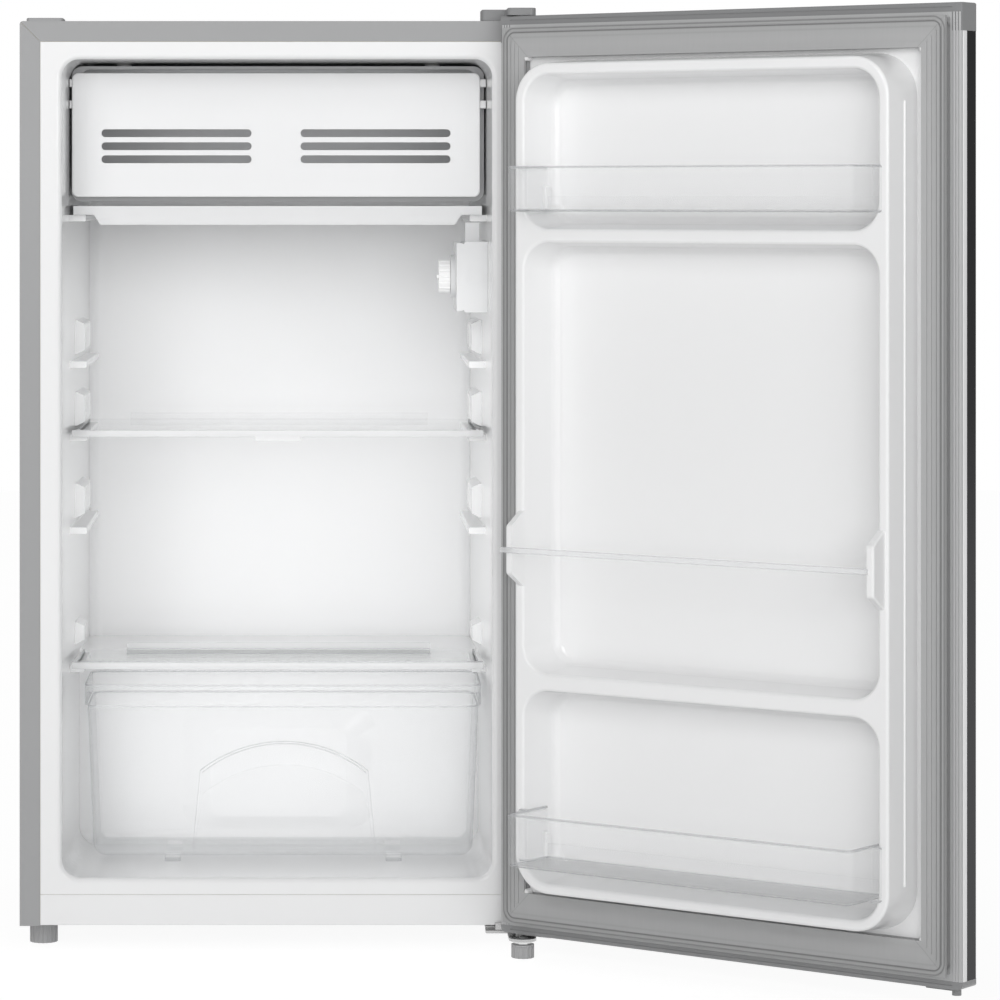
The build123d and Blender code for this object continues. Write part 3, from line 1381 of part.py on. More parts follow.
def main():
    os.makedirs("parts", exist_ok=True)
    save("outer_shell", outer_shell())
    save("base_pan", base_pan())
    save("back_panel", back_panel())
    save("kick_plate", kick_plate())
    save("inner_liner", inner_liner())
    save("cabinet_foam", cabinet_foam(mouth(LINER_T)))
    save("evaporator_box", evaporator())
    save("evaporator_hangers", evaporator_hangers())
    save("freezer_flap", freezer_flap())
    save("flap_hinge_lugs", flap_lugs())
    save("drip_tray", drip_tray())
    save("thermostat_housing", thermostat_housing())
    save("thermostat_knob", thermostat_knob())
    save("upper_shelf_glass", glass(SHELF_TOP, SHELF_DEPTH))
    save("upper_shelf_trims", shelf_trims(SHELF_TOP, SHELF_DEPTH, True))
    cover_depth = HUMP_FRONT - 6 - FRONT_SET
    save("crisper_cover_glass", glass(COVER_TOP, cover_depth))
    save("crisper_cover_trims", shelf_trims(COVER_TOP, cover_depth, False))
    save("crisper_drawer", crisper_drawer())

    save_on_door("door_outer_panel", door_outer_panel())
    save_on_door("door_edge_strips", door_edge_strips())
    save_on_door("door_frame", door_frame())
    save_on_door("door_top_cap", door_cap(True))
    save_on_door("door_bottom_cap", door_cap(False))
    save_on_door("hinge_bushes", hinge_bushes())
    save_on_door("hinge_hole_plugs", hinge_hole_plugs())
    save_on_door("door_liner", door_liner())
    save_on_door("door_foam", door_foam(door_form(LINER_T)))
    save_on_door("door_gasket", door_gasket())
    save_on_door("upper_door_bin", bin_tray(UPPER_BIN_Z, UPPER_BIN_H))
    save_on_door("lower_door_bin", bin_tray(LOWER_BIN_Z, LOWER_BIN_H))
    save_on_door("bottle_rail", bottle_rail())
    save_on_door("door_stop_plate", door_stop_plate())

    save("top_hinge_bracket", top_hinge_bracket())
    save("top_hinge_cover", top_hinge_cover())
    save("top_hinge_pin", top_hinge_pin())
    save("spare_hinge_cover", spare_hinge_cover())
    save("bottom_hinge_bracket", bottom_hinge_bracket())
    save("bottom_hinge_pin", bottom_hinge_pin())
    save("front_foot", front_foot())
    save("foot_socket", foot_socket())
    save("hinge_foot", hinge_foot())
    save("hinge_foot_nut", hinge_foot_nut())
    save("rear_feet", rear_feet())
    screws = [screw(x, y, CAB_TOP + TOP_PLATE_T) for x, y in top_screw_places()]
    screws += [screw(x, y, low_arm_top(), up=False) for x, y in low_screw_places()]
    save("hinge_screws", group(*screws))

    save("bay_plate", bay_plate())
    save("compressor", compressor())
    save("compressor_carrier", compressor_carrier())
    save("compressor_grommets", grommets())
    save("relay_cover", relay_cover())
    save("water_pan", water_pan())
    save("refrigerant_tubes", refrigerant_tubes())
    save("filter_dryer", filter_dryer())
    save("drain_spout", drain_spout())


if __name__ == "__main__":
    main()
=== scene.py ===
"""Finishes for a small refrigerator with its door open, laid out as a Blender add-on and run as a script."""

import json
import math

import bpy
from mathutils import Matrix, Vector


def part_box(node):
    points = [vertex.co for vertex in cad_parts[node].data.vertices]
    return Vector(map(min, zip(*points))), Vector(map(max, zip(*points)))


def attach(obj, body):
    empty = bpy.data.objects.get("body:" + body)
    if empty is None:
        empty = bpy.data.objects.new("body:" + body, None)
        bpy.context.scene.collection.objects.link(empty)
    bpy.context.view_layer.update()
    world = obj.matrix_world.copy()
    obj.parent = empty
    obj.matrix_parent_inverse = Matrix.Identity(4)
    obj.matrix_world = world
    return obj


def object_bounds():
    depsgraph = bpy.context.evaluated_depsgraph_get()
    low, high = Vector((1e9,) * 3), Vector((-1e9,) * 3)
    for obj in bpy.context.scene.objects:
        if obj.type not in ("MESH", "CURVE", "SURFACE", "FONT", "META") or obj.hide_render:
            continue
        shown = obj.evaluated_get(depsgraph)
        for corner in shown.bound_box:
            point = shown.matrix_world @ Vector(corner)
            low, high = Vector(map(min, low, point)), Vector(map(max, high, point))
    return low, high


bl_info = {
    "name": "Mini fridge finishes",
    "version": (1, 0, 0),
    "blender": (4, 5, 0),
    "location": "View3D > Sidebar > Mini Fridge",
    "description": "Finishes and small parts for a mini fridge with its door open",
    "category": "Object",
}

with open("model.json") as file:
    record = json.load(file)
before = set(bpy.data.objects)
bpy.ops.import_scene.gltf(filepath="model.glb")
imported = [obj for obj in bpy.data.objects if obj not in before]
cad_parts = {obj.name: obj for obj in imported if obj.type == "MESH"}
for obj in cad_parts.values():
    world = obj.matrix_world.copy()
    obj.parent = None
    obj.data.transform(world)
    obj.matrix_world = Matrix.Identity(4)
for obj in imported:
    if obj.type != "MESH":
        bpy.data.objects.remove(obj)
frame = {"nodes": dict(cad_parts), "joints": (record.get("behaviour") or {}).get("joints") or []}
NODES = frame["nodes"]
CAD_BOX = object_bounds()
DOOR_JOINT = next(joint for joint in frame["joints"] if joint["child"] == "door")
HINGE = Vector(DOOR_JOINT["pos_m"])
DOOR_TURN = math.radians(-DOOR_JOINT["range_deg"][0])
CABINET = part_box("outer_shell")
SHELL_HALF = CABINET[1][0]
FRONT_Y = CABINET[0][1]
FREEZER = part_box("evaporator_box")
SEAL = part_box("door_gasket")
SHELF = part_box("upper_shelf_glass")
REAR_TRIM = 0.016  # depth of a shelf's rear trim
REAR_ENDS = 0.032  # length of the pale end at each side of the rear trim
CUT_EDGE = 0.0015  # width of the grey-green cut edge of the glass
CRISPER_BAND = 0.0205  # depth of the band under the crisper's rim
SEAL_INSET = 0.010  # from the cabinet's side to the seal's outer edge
SEAL_CORNER = 0.012  # corner radius of the seal's folds
STUD_DEPTH = 0.008
STUD_BACK = 0.0055  # from the cabinet's front plane to the middle of a stud
MOUTH_DEPTH = 0.03  # from the front plane to the compartment's lamp
FREEZER_LAMP_DEPTH = 0.015  # from the freezer box's front to its lamp


# ---- Shader sockets with ordinary arithmetic ----
class Value:
    """An output socket that adds Math nodes when it is used in an expression."""

    def __init__(self, shader, socket):
        self.shader = shader
        self.socket = socket

    def _math(self, operation, *values):
        return self.shader.node("ShaderNodeMath", {"operation": operation}, dict(enumerate(values)))

    def __add__(self, other):
        return self._math("ADD", self, other)

    def __radd__(self, other):
        return self._math("ADD", other, self)

    def __sub__(self, other):
        return self._math("SUBTRACT", self, other)

    def __rsub__(self, other):
        return self._math("SUBTRACT", other, self)

    def __mul__(self, other):
        return self._math("MULTIPLY", self, other)

    def __truediv__(self, other):
        return self._math("DIVIDE", self, other)

    def __gt__(self, other):
        return self._math("GREATER_THAN", self, other)

    def __lt__(self, other):
        return self._math("LESS_THAN", self, other)

    def __pow__(self, other):
        return self._math("POWER", self, other)

    def __abs__(self):
        return self._math("ABSOLUTE", self)

    def least(self, other):
        return self._math("MINIMUM", self, other)

    def most(self, other):
        return self._math("MAXIMUM", self, other)

    def near(self, middle, reach):
        """One at the middle, falling to nothing at the reach on either side."""
        return (1.0 - abs(self - middle) / reach).clamp()

    def clamp(self):
        return self.shader.node("ShaderNodeClamp", {}, {"Value": self})


class Shader:
    """A new material with one principled surface, built node by node."""

    def __init__(self, name):
        self.material = bpy.data.materials.new(name)
        self.material.use_nodes = True
        self.tree = self.material.node_tree
        self.surface = self.tree.nodes["Principled BSDF"]
        self.output = self.tree.nodes["Material Output"]

    def node(self, kind, settings, sockets, result=0):
        """Adds a node: its settings first, then the values or links of its sockets."""
        made = self.tree.nodes.new(kind)
        for key, value in settings.items():
            setattr(made, key, value)
        for key, value in sockets.items():
            self.connect(made.inputs[key], value)
        return Value(self, made.outputs[result])

    def connect(self, target, value):
        if isinstance(value, Value):
            self.tree.links.new(value.socket, target)
        else:
            target.default_value = value

    def set(self, **sockets):
        """Sets sockets of the surface; underscores in the names stand for spaces."""
        for name, value in sockets.items():
            self.connect(self.surface.inputs[name.replace("_", " ")], value)
        return self

    def place(self, turn=0.0, about=(0.0, 0.0, 0.0)):
        """Object coordinates as three values, turned about the vertical through a point."""
        coords = self.node("ShaderNodeTexCoord", {}, {}, "Object")
        moved = self.node(
            "ShaderNodeVectorMath", {"operation": "SUBTRACT"}, {0: coords, 1: (about[0], about[1], 0.0)}
        )
        turned = self.node(
            "ShaderNodeMapping", {"vector_type": "POINT"}, {"Vector": moved, "Rotation": (0.0, 0.0, turn)}
        )
        back = self.node("ShaderNodeVectorMath", {"operation": "ADD"}, {0: turned, 1: (about[0], about[1], 0.0)})
        return back

    def parts(self, vector):
        split = self.tree.nodes.new("ShaderNodeSeparateXYZ")
        self.connect(split.inputs[0], vector)
        return tuple(Value(self, split.outputs[axis]) for axis in "XYZ")

    def scaled(self, vector, factors):
        return self.node("ShaderNodeVectorMath", {"operation": "MULTIPLY"}, {0: vector, 1: factors})

    def noise(self, vector, scale, detail=3.0, roughness=0.5):
        return self.node(
            "ShaderNodeTexNoise",
            {},
            {"Vector": vector, "Scale": scale, "Detail": detail, "Roughness": roughness},
            "Fac",
        )

    def mix(self, mask, first, second):
        """Colours blended by a value."""
        made = self.tree.nodes.new("ShaderNodeMix")
        made.data_type = "RGBA"
        self.connect(made.inputs[0], mask)
        self.connect(made.inputs[6], first)
        self.connect(made.inputs[7], second)
        return Value(self, made.outputs[2])

    def facing(self):
        """Nothing where a face looks at the viewer, rising to one where it turns away."""
        return self.node("ShaderNodeLayerWeight", {}, {"Blend": 0.3}, "Facing")

    def bump(self, height, strength, distance):
        normal = self.node(
            "ShaderNodeBump", {}, {"Height": height, "Strength": strength, "Distance": distance}, "Normal"
        )
        return self.set(Normal=normal)


def rgb(colour, factor=1.0):
    return (colour[0] * factor, colour[1] * factor, colour[2] * factor, 1.0)


def dress(node_names, material):
    """Gives carried-over solids a finish."""
    for name in node_names:
        slots = NODES[name].data.materials
        slots.clear()
        slots.append(material)


def even_shading(node_names, crease=32.0):
    """Shades curved faces of carried-over solids smoothly and keeps their edges crisp."""
    for name in node_names:
        solid = NODES[name]
        solid.data.polygons.foreach_set("use_smooth", [True] * len(solid.data.polygons))
        joined = solid.modifiers.new("joined", "WELD")
        joined.merge_threshold = 1e-6
        creases = solid.modifiers.new("creases", "EDGE_SPLIT")
        creases.split_angle = math.radians(crease)
        levelled = solid.modifiers.new("levelled", "WEIGHTED_NORMAL")
        levelled.keep_sharp = True


# ---- Finishes ----
def painted_sheet(name, colour, roughness):
    """Painted or coated steel with faint orange peel."""
    s = Shader(name)
    place = s.place()
    peel = s.noise(place, 900.0, 2.0)
    tone = s.noise(place, 6.0, 2.0)
    s.set(
        Base_Color=s.mix(tone, rgb(colour, 0.97), rgb(colour, 1.03)),
        Roughness=roughness + (peel - 0.5) * 0.10,
        Metallic=0.15,
    )
    s.bump(peel, 0.12, 0.0002)
    return s.material


def moulded(name, colour, roughness, coat=0.0, grain=0.0):
    """Opaque moulded or vacuum-formed plastic."""
    s = Shader(name)
    place = s.place()
    tone = s.noise(place, 4.0, 2.0)
    s.set(
        Base_Color=s.mix(tone, rgb(colour, 0.985), rgb(colour, 1.01)),
        Roughness=roughness + (s.noise(place, 30.0, 2.0) - 0.5) * 0.06,
        Coat_Weight=coat,
        Coat_Roughness=0.10,
    )
    if grain:
        s.bump(s.noise(place, 900.0, 2.0), grain, 0.0002)
    return s.material


def clear_plastic(name, colour, edge_tint_and_shade, body, edge, roughness=0.08, shaded_rims=()):
    """Clear moulding: nearly unseen face on, with painted shade in grey where a wall turns away and in thin lines at
    given heights.
    """
    s = Shader(name)
    place = s.place()
    z = s.parts(place)[2]
    turned = s.facing() ** 2.2
    rim_shade = 0.0
    # Painted shade: thin grey lines at the given heights.
    for level, reach in shaded_rims:
        rim_shade = z.near(level, reach) + rim_shade
    flow = s.noise(place, 14.0, 2.0)
    # Painted shade: the colour turns grey where a wall turns away and along those lines.
    s.set(
        Base_Color=s.mix((turned * 1.6 + rim_shade * 0.8).clamp(), rgb(colour), rgb(edge_tint_and_shade)),
        Roughness=roughness + flow * 0.06,
        Alpha=(turned * edge + rim_shade * 0.5 + flow * 0.015 + body).clamp(),
        IOR=1.45,
        Specular_IOR_Level=0.7,
    )
    return s.material


def shelf_trim(name, colour, edge_tint_and_shade):
    """Pale front moulding of a shelf, clear along the back but for its two ends, with painted shade where its faces
    turn away.
    """
    s = Shader(name)
    place = s.place()
    x, y, _ = s.parts(place)
    turned = s.facing() ** 3.0
    back = y > SHELF[1][1] - REAR_TRIM
    middle = abs(x) < SHELF[1][0] - REAR_ENDS
    flow = s.noise(place, 14.0, 2.0)
    # Painted shade: grey where the trim's faces turn away.
    s.set(
        Base_Color=s.mix(turned, rgb(colour), rgb(edge_tint_and_shade)),
        Roughness=0.08 + flow * 0.06,
        Alpha=(turned * 0.35 + 0.6 - back * middle * 0.52).clamp(),
        IOR=1.45,
        Specular_IOR_Level=0.7,
    )
    return s.material


def shelf_glass(name, colour, edge_tint_and_shade):
    """Float glass, clear on its faces and grey-green through its cut edges."""
    s = Shader(name)
    x = s.parts(s.place())[0]
    half = (SHELF[1][0] - SHELF[0][0]) / 2
    cut = abs(x) > half - CUT_EDGE
    wiped = s.noise(s.place(), 20.0, 3.0)
    s.set(
        Base_Color=s.mix(cut, rgb(colour), rgb(edge_tint_and_shade)),
        Roughness=0.02 + wiped * 0.04,
        Alpha=(0.05 + s.facing() ** 2.0 * 0.30 + cut * 0.7).clamp(),
        IOR=1.5,
        Specular_IOR_Level=0.8,
    )
    return s.material


def freezer_sheet(name, colour):
    """Coated roll-bond sheet."""
    s = Shader(name)
    place = s.place()
    tone = s.noise(place, 5.0, 2.0)
    s.set(
        Base_Color=s.mix(tone, rgb(colour, 0.94), rgb(colour, 1.06)),
        Roughness=0.36 + (s.noise(place, 60.0, 2.0) - 0.5) * 0.1,
        Metallic=0.4,
    )
    return s.material


def soft_seal(name, colour):
    """Soft vinyl seal, creased along its outer edge and welded in mitres at its corners; painted shade darkens its
    creases and the band along its outer edge.
    """
    s = Shader(name)
    x, _, z = s.parts(s.place(-DOOR_TURN, HINGE))
    low, high = SEAL[0][2], SEAL[1][2]
    half_x, half_z, turn = SHELL_HALF - SEAL_INSET, (high - low) / 2, SEAL_CORNER
    from_x = half_x - abs(x)
    from_z = half_z - abs(z - (low + high) / 2)
    corner_x = (turn - from_x).most(0.0)
    corner_z = (turn - from_z).most(0.0)
    depth = turn - (corner_x**2.0 + corner_z**2.0) ** 0.5 + (from_x.least(from_z) - turn).most(0.0)
    fold_height_and_shade = 0.0
    # Painted shade: dark lines in the seal's creases, where shade falls; the same values drive the bump.
    for level, reach, weight in ((0.0047, 0.0012, 0.62), (0.0010, 0.0012, 0.45), (0.0092, 0.0014, 0.10)):
        fold_height_and_shade = depth.near(level, reach) * weight + fold_height_and_shade
    mitre = (from_x - from_z).near(0.0, 0.0008) * (depth > 0.006) * 0.22
    # Painted shade: darker towards the seal's outer edge.
    shade = (1.0 - depth / 0.016).clamp() * 0.14
    streaks = s.noise(s.scaled(s.place(), (40.0, 40.0, 3.0)), 12.0, 2.0)
    dark = (fold_height_and_shade + mitre + shade + streaks * 0.05).clamp()
    s.set(Base_Color=s.mix(dark, rgb(colour, 1.05), rgb(colour, 0.12)), Roughness=0.50 + streaks * 0.08)
    s.bump(fold_height_and_shade, 0.25, -0.0006)
    return s.material


def bare_metal(name, colour, roughness, stretch=(1.0, 1.0, 1.0), turn=0.0):
    """Plated or bare metal with drawn or rolled marks along one way."""
    s = Shader(name)
    place = s.scaled(s.place(turn, HINGE), stretch)
    marks = s.noise(place, 300.0, 4.0, 0.6)
    s.set(
        Base_Color=s.mix(marks, rgb(colour, 0.92), rgb(colour, 1.05)),
        Metallic=1.0,
        Roughness=roughness + (marks - 0.5) * 0.15,
    )
    s.bump(marks, 0.05, 0.0001)
    return s.material


# ---- Settings a user would change ----
class FinishSettings(bpy.types.PropertyGroup):
    cabinet: bpy.props.FloatVectorProperty(
        name="Cabinet", description="Paint of the cabinet", default=(0.38, 0.382, 0.386), subtype="COLOR"
    )
    liner: bpy.props.FloatVectorProperty(
        name="Liner", description="White of the liners", default=(0.895, 0.897, 0.90), subtype="COLOR"
    )
    gasket: bpy.props.FloatVectorProperty(
        name="Gasket", description="Grey of the door's seal", default=(0.41, 0.412, 0.414), subtype="COLOR"
    )
    door_skin: bpy.props.FloatVectorProperty(
        name="Door skin", description="Tone of the stainless door", default=(0.032, 0.032, 0.034), subtype="COLOR"
    )
    clear: bpy.props.FloatVectorProperty(
        name="Clear plastic", description="Tint of the clear mouldings", default=(0.90, 0.91, 0.92), subtype="COLOR"
    )
    # Painted shade: the grey that clear mouldings take where their walls turn away and along their rim lines.
    clear_edge_shade: bpy.props.FloatVectorProperty(
        name="Clear edges",
        description="Tint of the clear mouldings where they turn away",
        default=(0.40, 0.41, 0.42),
        subtype="COLOR",
    )


class SizeSettings(bpy.types.PropertyGroup):
    seal_side: bpy.props.FloatProperty(
        name="Seal at the sides", description="Width of the seal at the sides", default=0.023, unit="LENGTH"
    )
    seal_top: bpy.props.FloatProperty(
        name="Seal at the top", description="Width of the seal at the top", default=0.027, unit="LENGTH"
    )
    seal_bottom: bpy.props.FloatProperty(
        name="Seal at the bottom", description="Width of the seal at the bottom", default=0.0285, unit="LENGTH"
    )
    stud_radius: bpy.props.FloatProperty(
        name="Seal stud", description="Radius of the studs at the seal's corners", default=0.0034, unit="LENGTH"
    )


class StageSettings(bpy.types.PropertyGroup):
    camera_place: bpy.props.FloatVectorProperty(
        name="Camera", description="Where the camera stands", default=(0.0303, -3.850, 0.6886), subtype="TRANSLATION"
    )
    focal: bpy.props.FloatProperty(
        name="Focal length", description="Lens in millimetres", default=151.13, unit="CAMERA"
    )
    shift_x: bpy.props.FloatProperty(name="Shift X", description="Lens shift sideways", default=0.19)
    shift_y: bpy.props.FloatProperty(name="Shift Y", description="Lens shift upwards", default=-0.303)
    floor_size: bpy.props.FloatProperty(
        name="Floor", description="Half the floor's width", default=6.0, unit="LENGTH"
    )


# ---- Mesh helpers ----
def clear_selection():
    if bpy.context.object and bpy.context.object.mode != "OBJECT":
        bpy.ops.object.mode_set(mode="OBJECT")
    bpy.ops.object.select_all(action="DESELECT")


def finished(obj, name, body, material):
    """Bakes a piece's place into its mesh, names it and lets it ride on its body."""
    clear_selection()
    bpy.context.view_layer.objects.active = obj
    obj.select_set(True)
    bpy.ops.object.transform_apply(location=True, rotation=True, scale=True)
    obj.name = name
    obj.data.materials.clear()
    obj.data.materials.append(material)
    bpy.ops.object.shade_smooth_by_angle(angle=math.radians(35))
    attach(obj, body)
    return obj


def door_place(x, y, z):
    """A point of the shut door, in metres, carried to where the open door has it."""
    turned = Matrix.Rotation(DOOR_TURN, 4, "Z") @ (Vector((x, y, z)) - HINGE)
    return turned + HINGE


# ---- Operators ----
class MESH_OT_fridge_cabinet(bpy.types.Operator):
    """Paint, liner and insulation finishes for the cabinet"""

    bl_idname = "mesh.fridge_cabinet"
    bl_label = "Cabinet"

    def execute(self, context):
        tones = context.scene.fridge_finish
        dress(["outer_shell", "spare_hinge_cover"], painted_sheet("silver_paint", tones.cabinet, 0.42))
        dress(["base_pan", "back_panel", "bay_plate"], painted_sheet("galvanised", (0.45, 0.46, 0.47), 0.5))
        white = moulded("white_liner", tones.liner, 0.30, coat=0.9)
        dress(["inner_liner", "kick_plate"], white)
        dress(["cabinet_foam"], moulded("insulation", (0.72, 0.66, 0.45), 0.8, grain=0.4))
        even_shading(["outer_shell", "spare_hinge_cover", "base_pan", "inner_liner", "kick_plate"])
        return {"FINISHED"}


class MESH_OT_fridge_freezer(bpy.types.Operator):
    """Finishes for the freezer box, its flap and the drip tray"""

    bl_idname = "mesh.fridge_freezer"
    bl_label = "Freezer box"

    def execute(self, context):
        dress(["evaporator_box"], freezer_sheet("coated_aluminium", (0.55, 0.553, 0.56)))
        dress(["evaporator_hangers", "flap_hinge_lugs"], moulded("white_lugs", (0.84, 0.84, 0.84), 0.35))
        dress(["freezer_flap"], moulded("flap_white", (0.85, 0.853, 0.858), 0.32, coat=0.3))
        # Painted shade: the tray turns a little greyer where its walls turn away.
        dress(["drip_tray"], clear_plastic("tray_pale", (0.88, 0.885, 0.89), (0.80, 0.80, 0.81), 0.80, 0.20))
        even_shading(["evaporator_box", "evaporator_hangers", "flap_hinge_lugs", "freezer_flap", "drip_tray"])
        return {"FINISHED"}


class MESH_OT_fridge_thermostat(bpy.types.Operator):
    """Finishes for the thermostat"""

    bl_idname = "mesh.fridge_thermostat"
    bl_label = "Thermostat"

    def execute(self, context):
        dress(["thermostat_housing"], moulded("thermostat_white", (0.72, 0.725, 0.73), 0.32, coat=0.2))
        dress(["thermostat_knob"], moulded("knob_white", (0.88, 0.88, 0.88), 0.35))
        even_shading(["thermostat_housing", "thermostat_knob"])
        return {"FINISHED"}


class MESH_OT_fridge_shelves(bpy.types.Operator):
    """Finishes for the glass shelves and the crisper"""

    bl_idname = "mesh.fridge_shelves"
    bl_label = "Shelves and crisper"

    def execute(self, context):
        tones = context.scene.fridge_finish
        glass = shelf_glass("shelf_glass", (0.86, 0.89, 0.885), (0.22, 0.24, 0.24))
        dress(["upper_shelf_glass", "crisper_cover_glass"], glass)
        trim = shelf_trim("trim_clear", (0.80, 0.805, 0.81), (0.60, 0.60, 0.62))
        dress(["upper_shelf_trims", "crisper_cover_trims"], trim)
        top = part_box("crisper_drawer")[1][2]
        # Heights of the painted shade lines at the crisper's rim and the band below it.
        shaded_lips = ((top - 0.001, 0.0014), (top - CRISPER_BAND, 0.0012))
        drawer = clear_plastic("crisper_clear", tones.clear, tones.clear_edge_shade, 0.03, 1.0, shaded_rims=shaded_lips)
        dress(["crisper_drawer"], drawer)
        even_shading(["upper_shelf_trims", "crisper_cover_trims", "crisper_drawer"])
        return {"FINISHED"}


class MESH_OT_fridge_door(bpy.types.Operator):
    """Finishes for the door, its liner, seal and edges"""

    bl_idname = "mesh.fridge_door"
    bl_label = "Door"

    def execute(self, context):
        tones = context.scene.fridge_finish
        steel = bare_metal("door_stainless", tones.door_skin, 0.22, (60.0, 60.0, 0.6), -DOOR_TURN)
        dress(["door_outer_panel"], steel)
        # Painted highlight: a near-white strip where the skin's rolled edge catches the light.
        dress(["door_edge_strips"], moulded("painted_edge_highlight", (0.90, 0.90, 0.905), 0.2, coat=0.8))
        dress(["door_liner"], moulded("door_liner_white", tones.liner, 0.30, coat=0.7))
        dress(["door_frame"], moulded("frame_grey", (0.50, 0.503, 0.506), 0.42))
        dress(["door_gasket"], soft_seal("gasket_grey", tones.gasket))
        caps = moulded("cap_grey", (0.26, 0.262, 0.266), 0.36, coat=0.2)
        dress(["door_top_cap", "door_bottom_cap", "hinge_hole_plugs", "top_hinge_cover"], caps)
        dress(["hinge_bushes"], moulded("bush_natural", (0.7, 0.7, 0.68), 0.4))
        dress(["door_foam"], moulded("door_insulation", (0.72, 0.66, 0.45), 0.8, grain=0.4))
        even_shading(["door_outer_panel", "door_liner", "door_frame", "door_gasket"])
        even_shading(["door_top_cap", "door_bottom_cap", "top_hinge_cover", "hinge_hole_plugs"])
        self.corner_studs(context)
        return {"FINISHED"}

    def corner_studs(self, context):
        """Round-topped studs that pin the seal at its four inner corners."""
        sizes = context.scene.fridge_sizes
        white = moulded("stud_white", (0.86, 0.86, 0.86), 0.3, coat=0.4)
        in_x = SHELL_HALF - SEAL_INSET - sizes.seal_side
        tops = (SEAL[1][2] - sizes.seal_top, SEAL[0][2] + sizes.seal_bottom)
        for side, x in (("near", in_x), ("far", -in_x)):
            for level, z in zip(("upper", "lower"), tops):
                stud = self.stud(door_place(x, FRONT_Y - STUD_BACK, z), sizes.stud_radius)
                finished(stud, f"seal_stud_{side}_{level}", "door", white)

    def stud(self, place, radius):
        clear_selection()
        bpy.ops.mesh.primitive_cylinder_add(
            vertices=32,
            radius=radius,
            depth=STUD_DEPTH,
            location=place,
            rotation=(-math.pi / 2, 0.0, DOOR_TURN),
        )
        stud = bpy.context.object
        bpy.ops.object.mode_set(mode="EDIT")
        bpy.ops.mesh.select_all(action="DESELECT")
        bpy.ops.object.mode_set(mode="OBJECT")
        for polygon in stud.data.polygons:
            polygon.select = polygon.normal.z > 0.9
        bpy.ops.object.mode_set(mode="EDIT")
        bpy.ops.mesh.bevel(offset=radius * 0.6, segments=4, affect="EDGES")
        bpy.ops.object.mode_set(mode="OBJECT")
        return stud


class MESH_OT_fridge_door_bins(bpy.types.Operator):
    """Finishes for the clear bins and the bottle rail"""

    bl_idname = "mesh.fridge_door_bins"
    bl_label = "Door bins"

    def execute(self, context):
        tones = context.scene.fridge_finish
        for name in ("upper_door_bin", "lower_door_bin"):
            low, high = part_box(name)
            # Heights of the painted shade lines at each bin's top and bottom.
            shaded_lips = ((high[2] - 0.001, 0.0016), (low[2] + 0.001, 0.0016))
            clear = clear_plastic(f"{name}_clear", tones.clear, tones.clear_edge_shade, 0.03, 0.45, shaded_rims=shaded_lips)
            dress([name], clear)
        dress(["bottle_rail"], clear_plastic("rail_clear", tones.clear, tones.clear_edge_shade, 0.35, 0.4))
        even_shading(["upper_door_bin", "lower_door_bin", "bottle_rail"])
        return {"FINISHED"}


class MESH_OT_fridge_hardware(bpy.types.Operator):
    """Finishes for the hinges, screws and feet"""

    bl_idname = "mesh.fridge_hardware"
    bl_label = "Hinges and feet"

    def execute(self, context):
        plated = bare_metal("plated_steel", (0.55, 0.55, 0.55), 0.28)
        dress(["top_hinge_bracket", "bottom_hinge_bracket", "door_stop_plate"], plated)
        shiny = bare_metal("bright_steel", (0.75, 0.75, 0.75), 0.15)
        dress(["top_hinge_pin", "bottom_hinge_pin", "hinge_foot_nut", "hinge_screws"], shiny)
        dress(["front_foot", "hinge_foot"], moulded("foot_grey", (0.42, 0.42, 0.425), 0.4))
        dress(["rear_feet", "foot_socket"], moulded("foot_black", (0.03, 0.03, 0.03), 0.5))
        even_shading(["top_hinge_pin", "bottom_hinge_pin", "hinge_screws", "front_foot", "hinge_foot", "rear_feet"])
        return {"FINISHED"}


class MESH_OT_fridge_compressor(bpy.types.Operator):
    """Finishes for the parts in the compressor bay"""

    bl_idname = "mesh.fridge_compressor"
    bl_label = "Compressor bay"

    def execute(self, context):
        black = painted_sheet("compressor_black", (0.02, 0.02, 0.02), 0.35)
        dress(["compressor", "compressor_carrier"], black)
        dress(["compressor_grommets"], moulded("grommet_rubber", (0.03, 0.03, 0.03), 0.7))
        dress(["relay_cover", "water_pan", "drain_spout"], moulded("bay_black", (0.03, 0.03, 0.03), 0.45))
        copper = bare_metal("copper", (0.72, 0.38, 0.24), 0.3)
        dress(["refrigerant_tubes", "filter_dryer"], copper)
        even_shading(["compressor", "compressor_grommets", "water_pan", "refrigerant_tubes", "filter_dryer"])
        return {"FINISHED"}


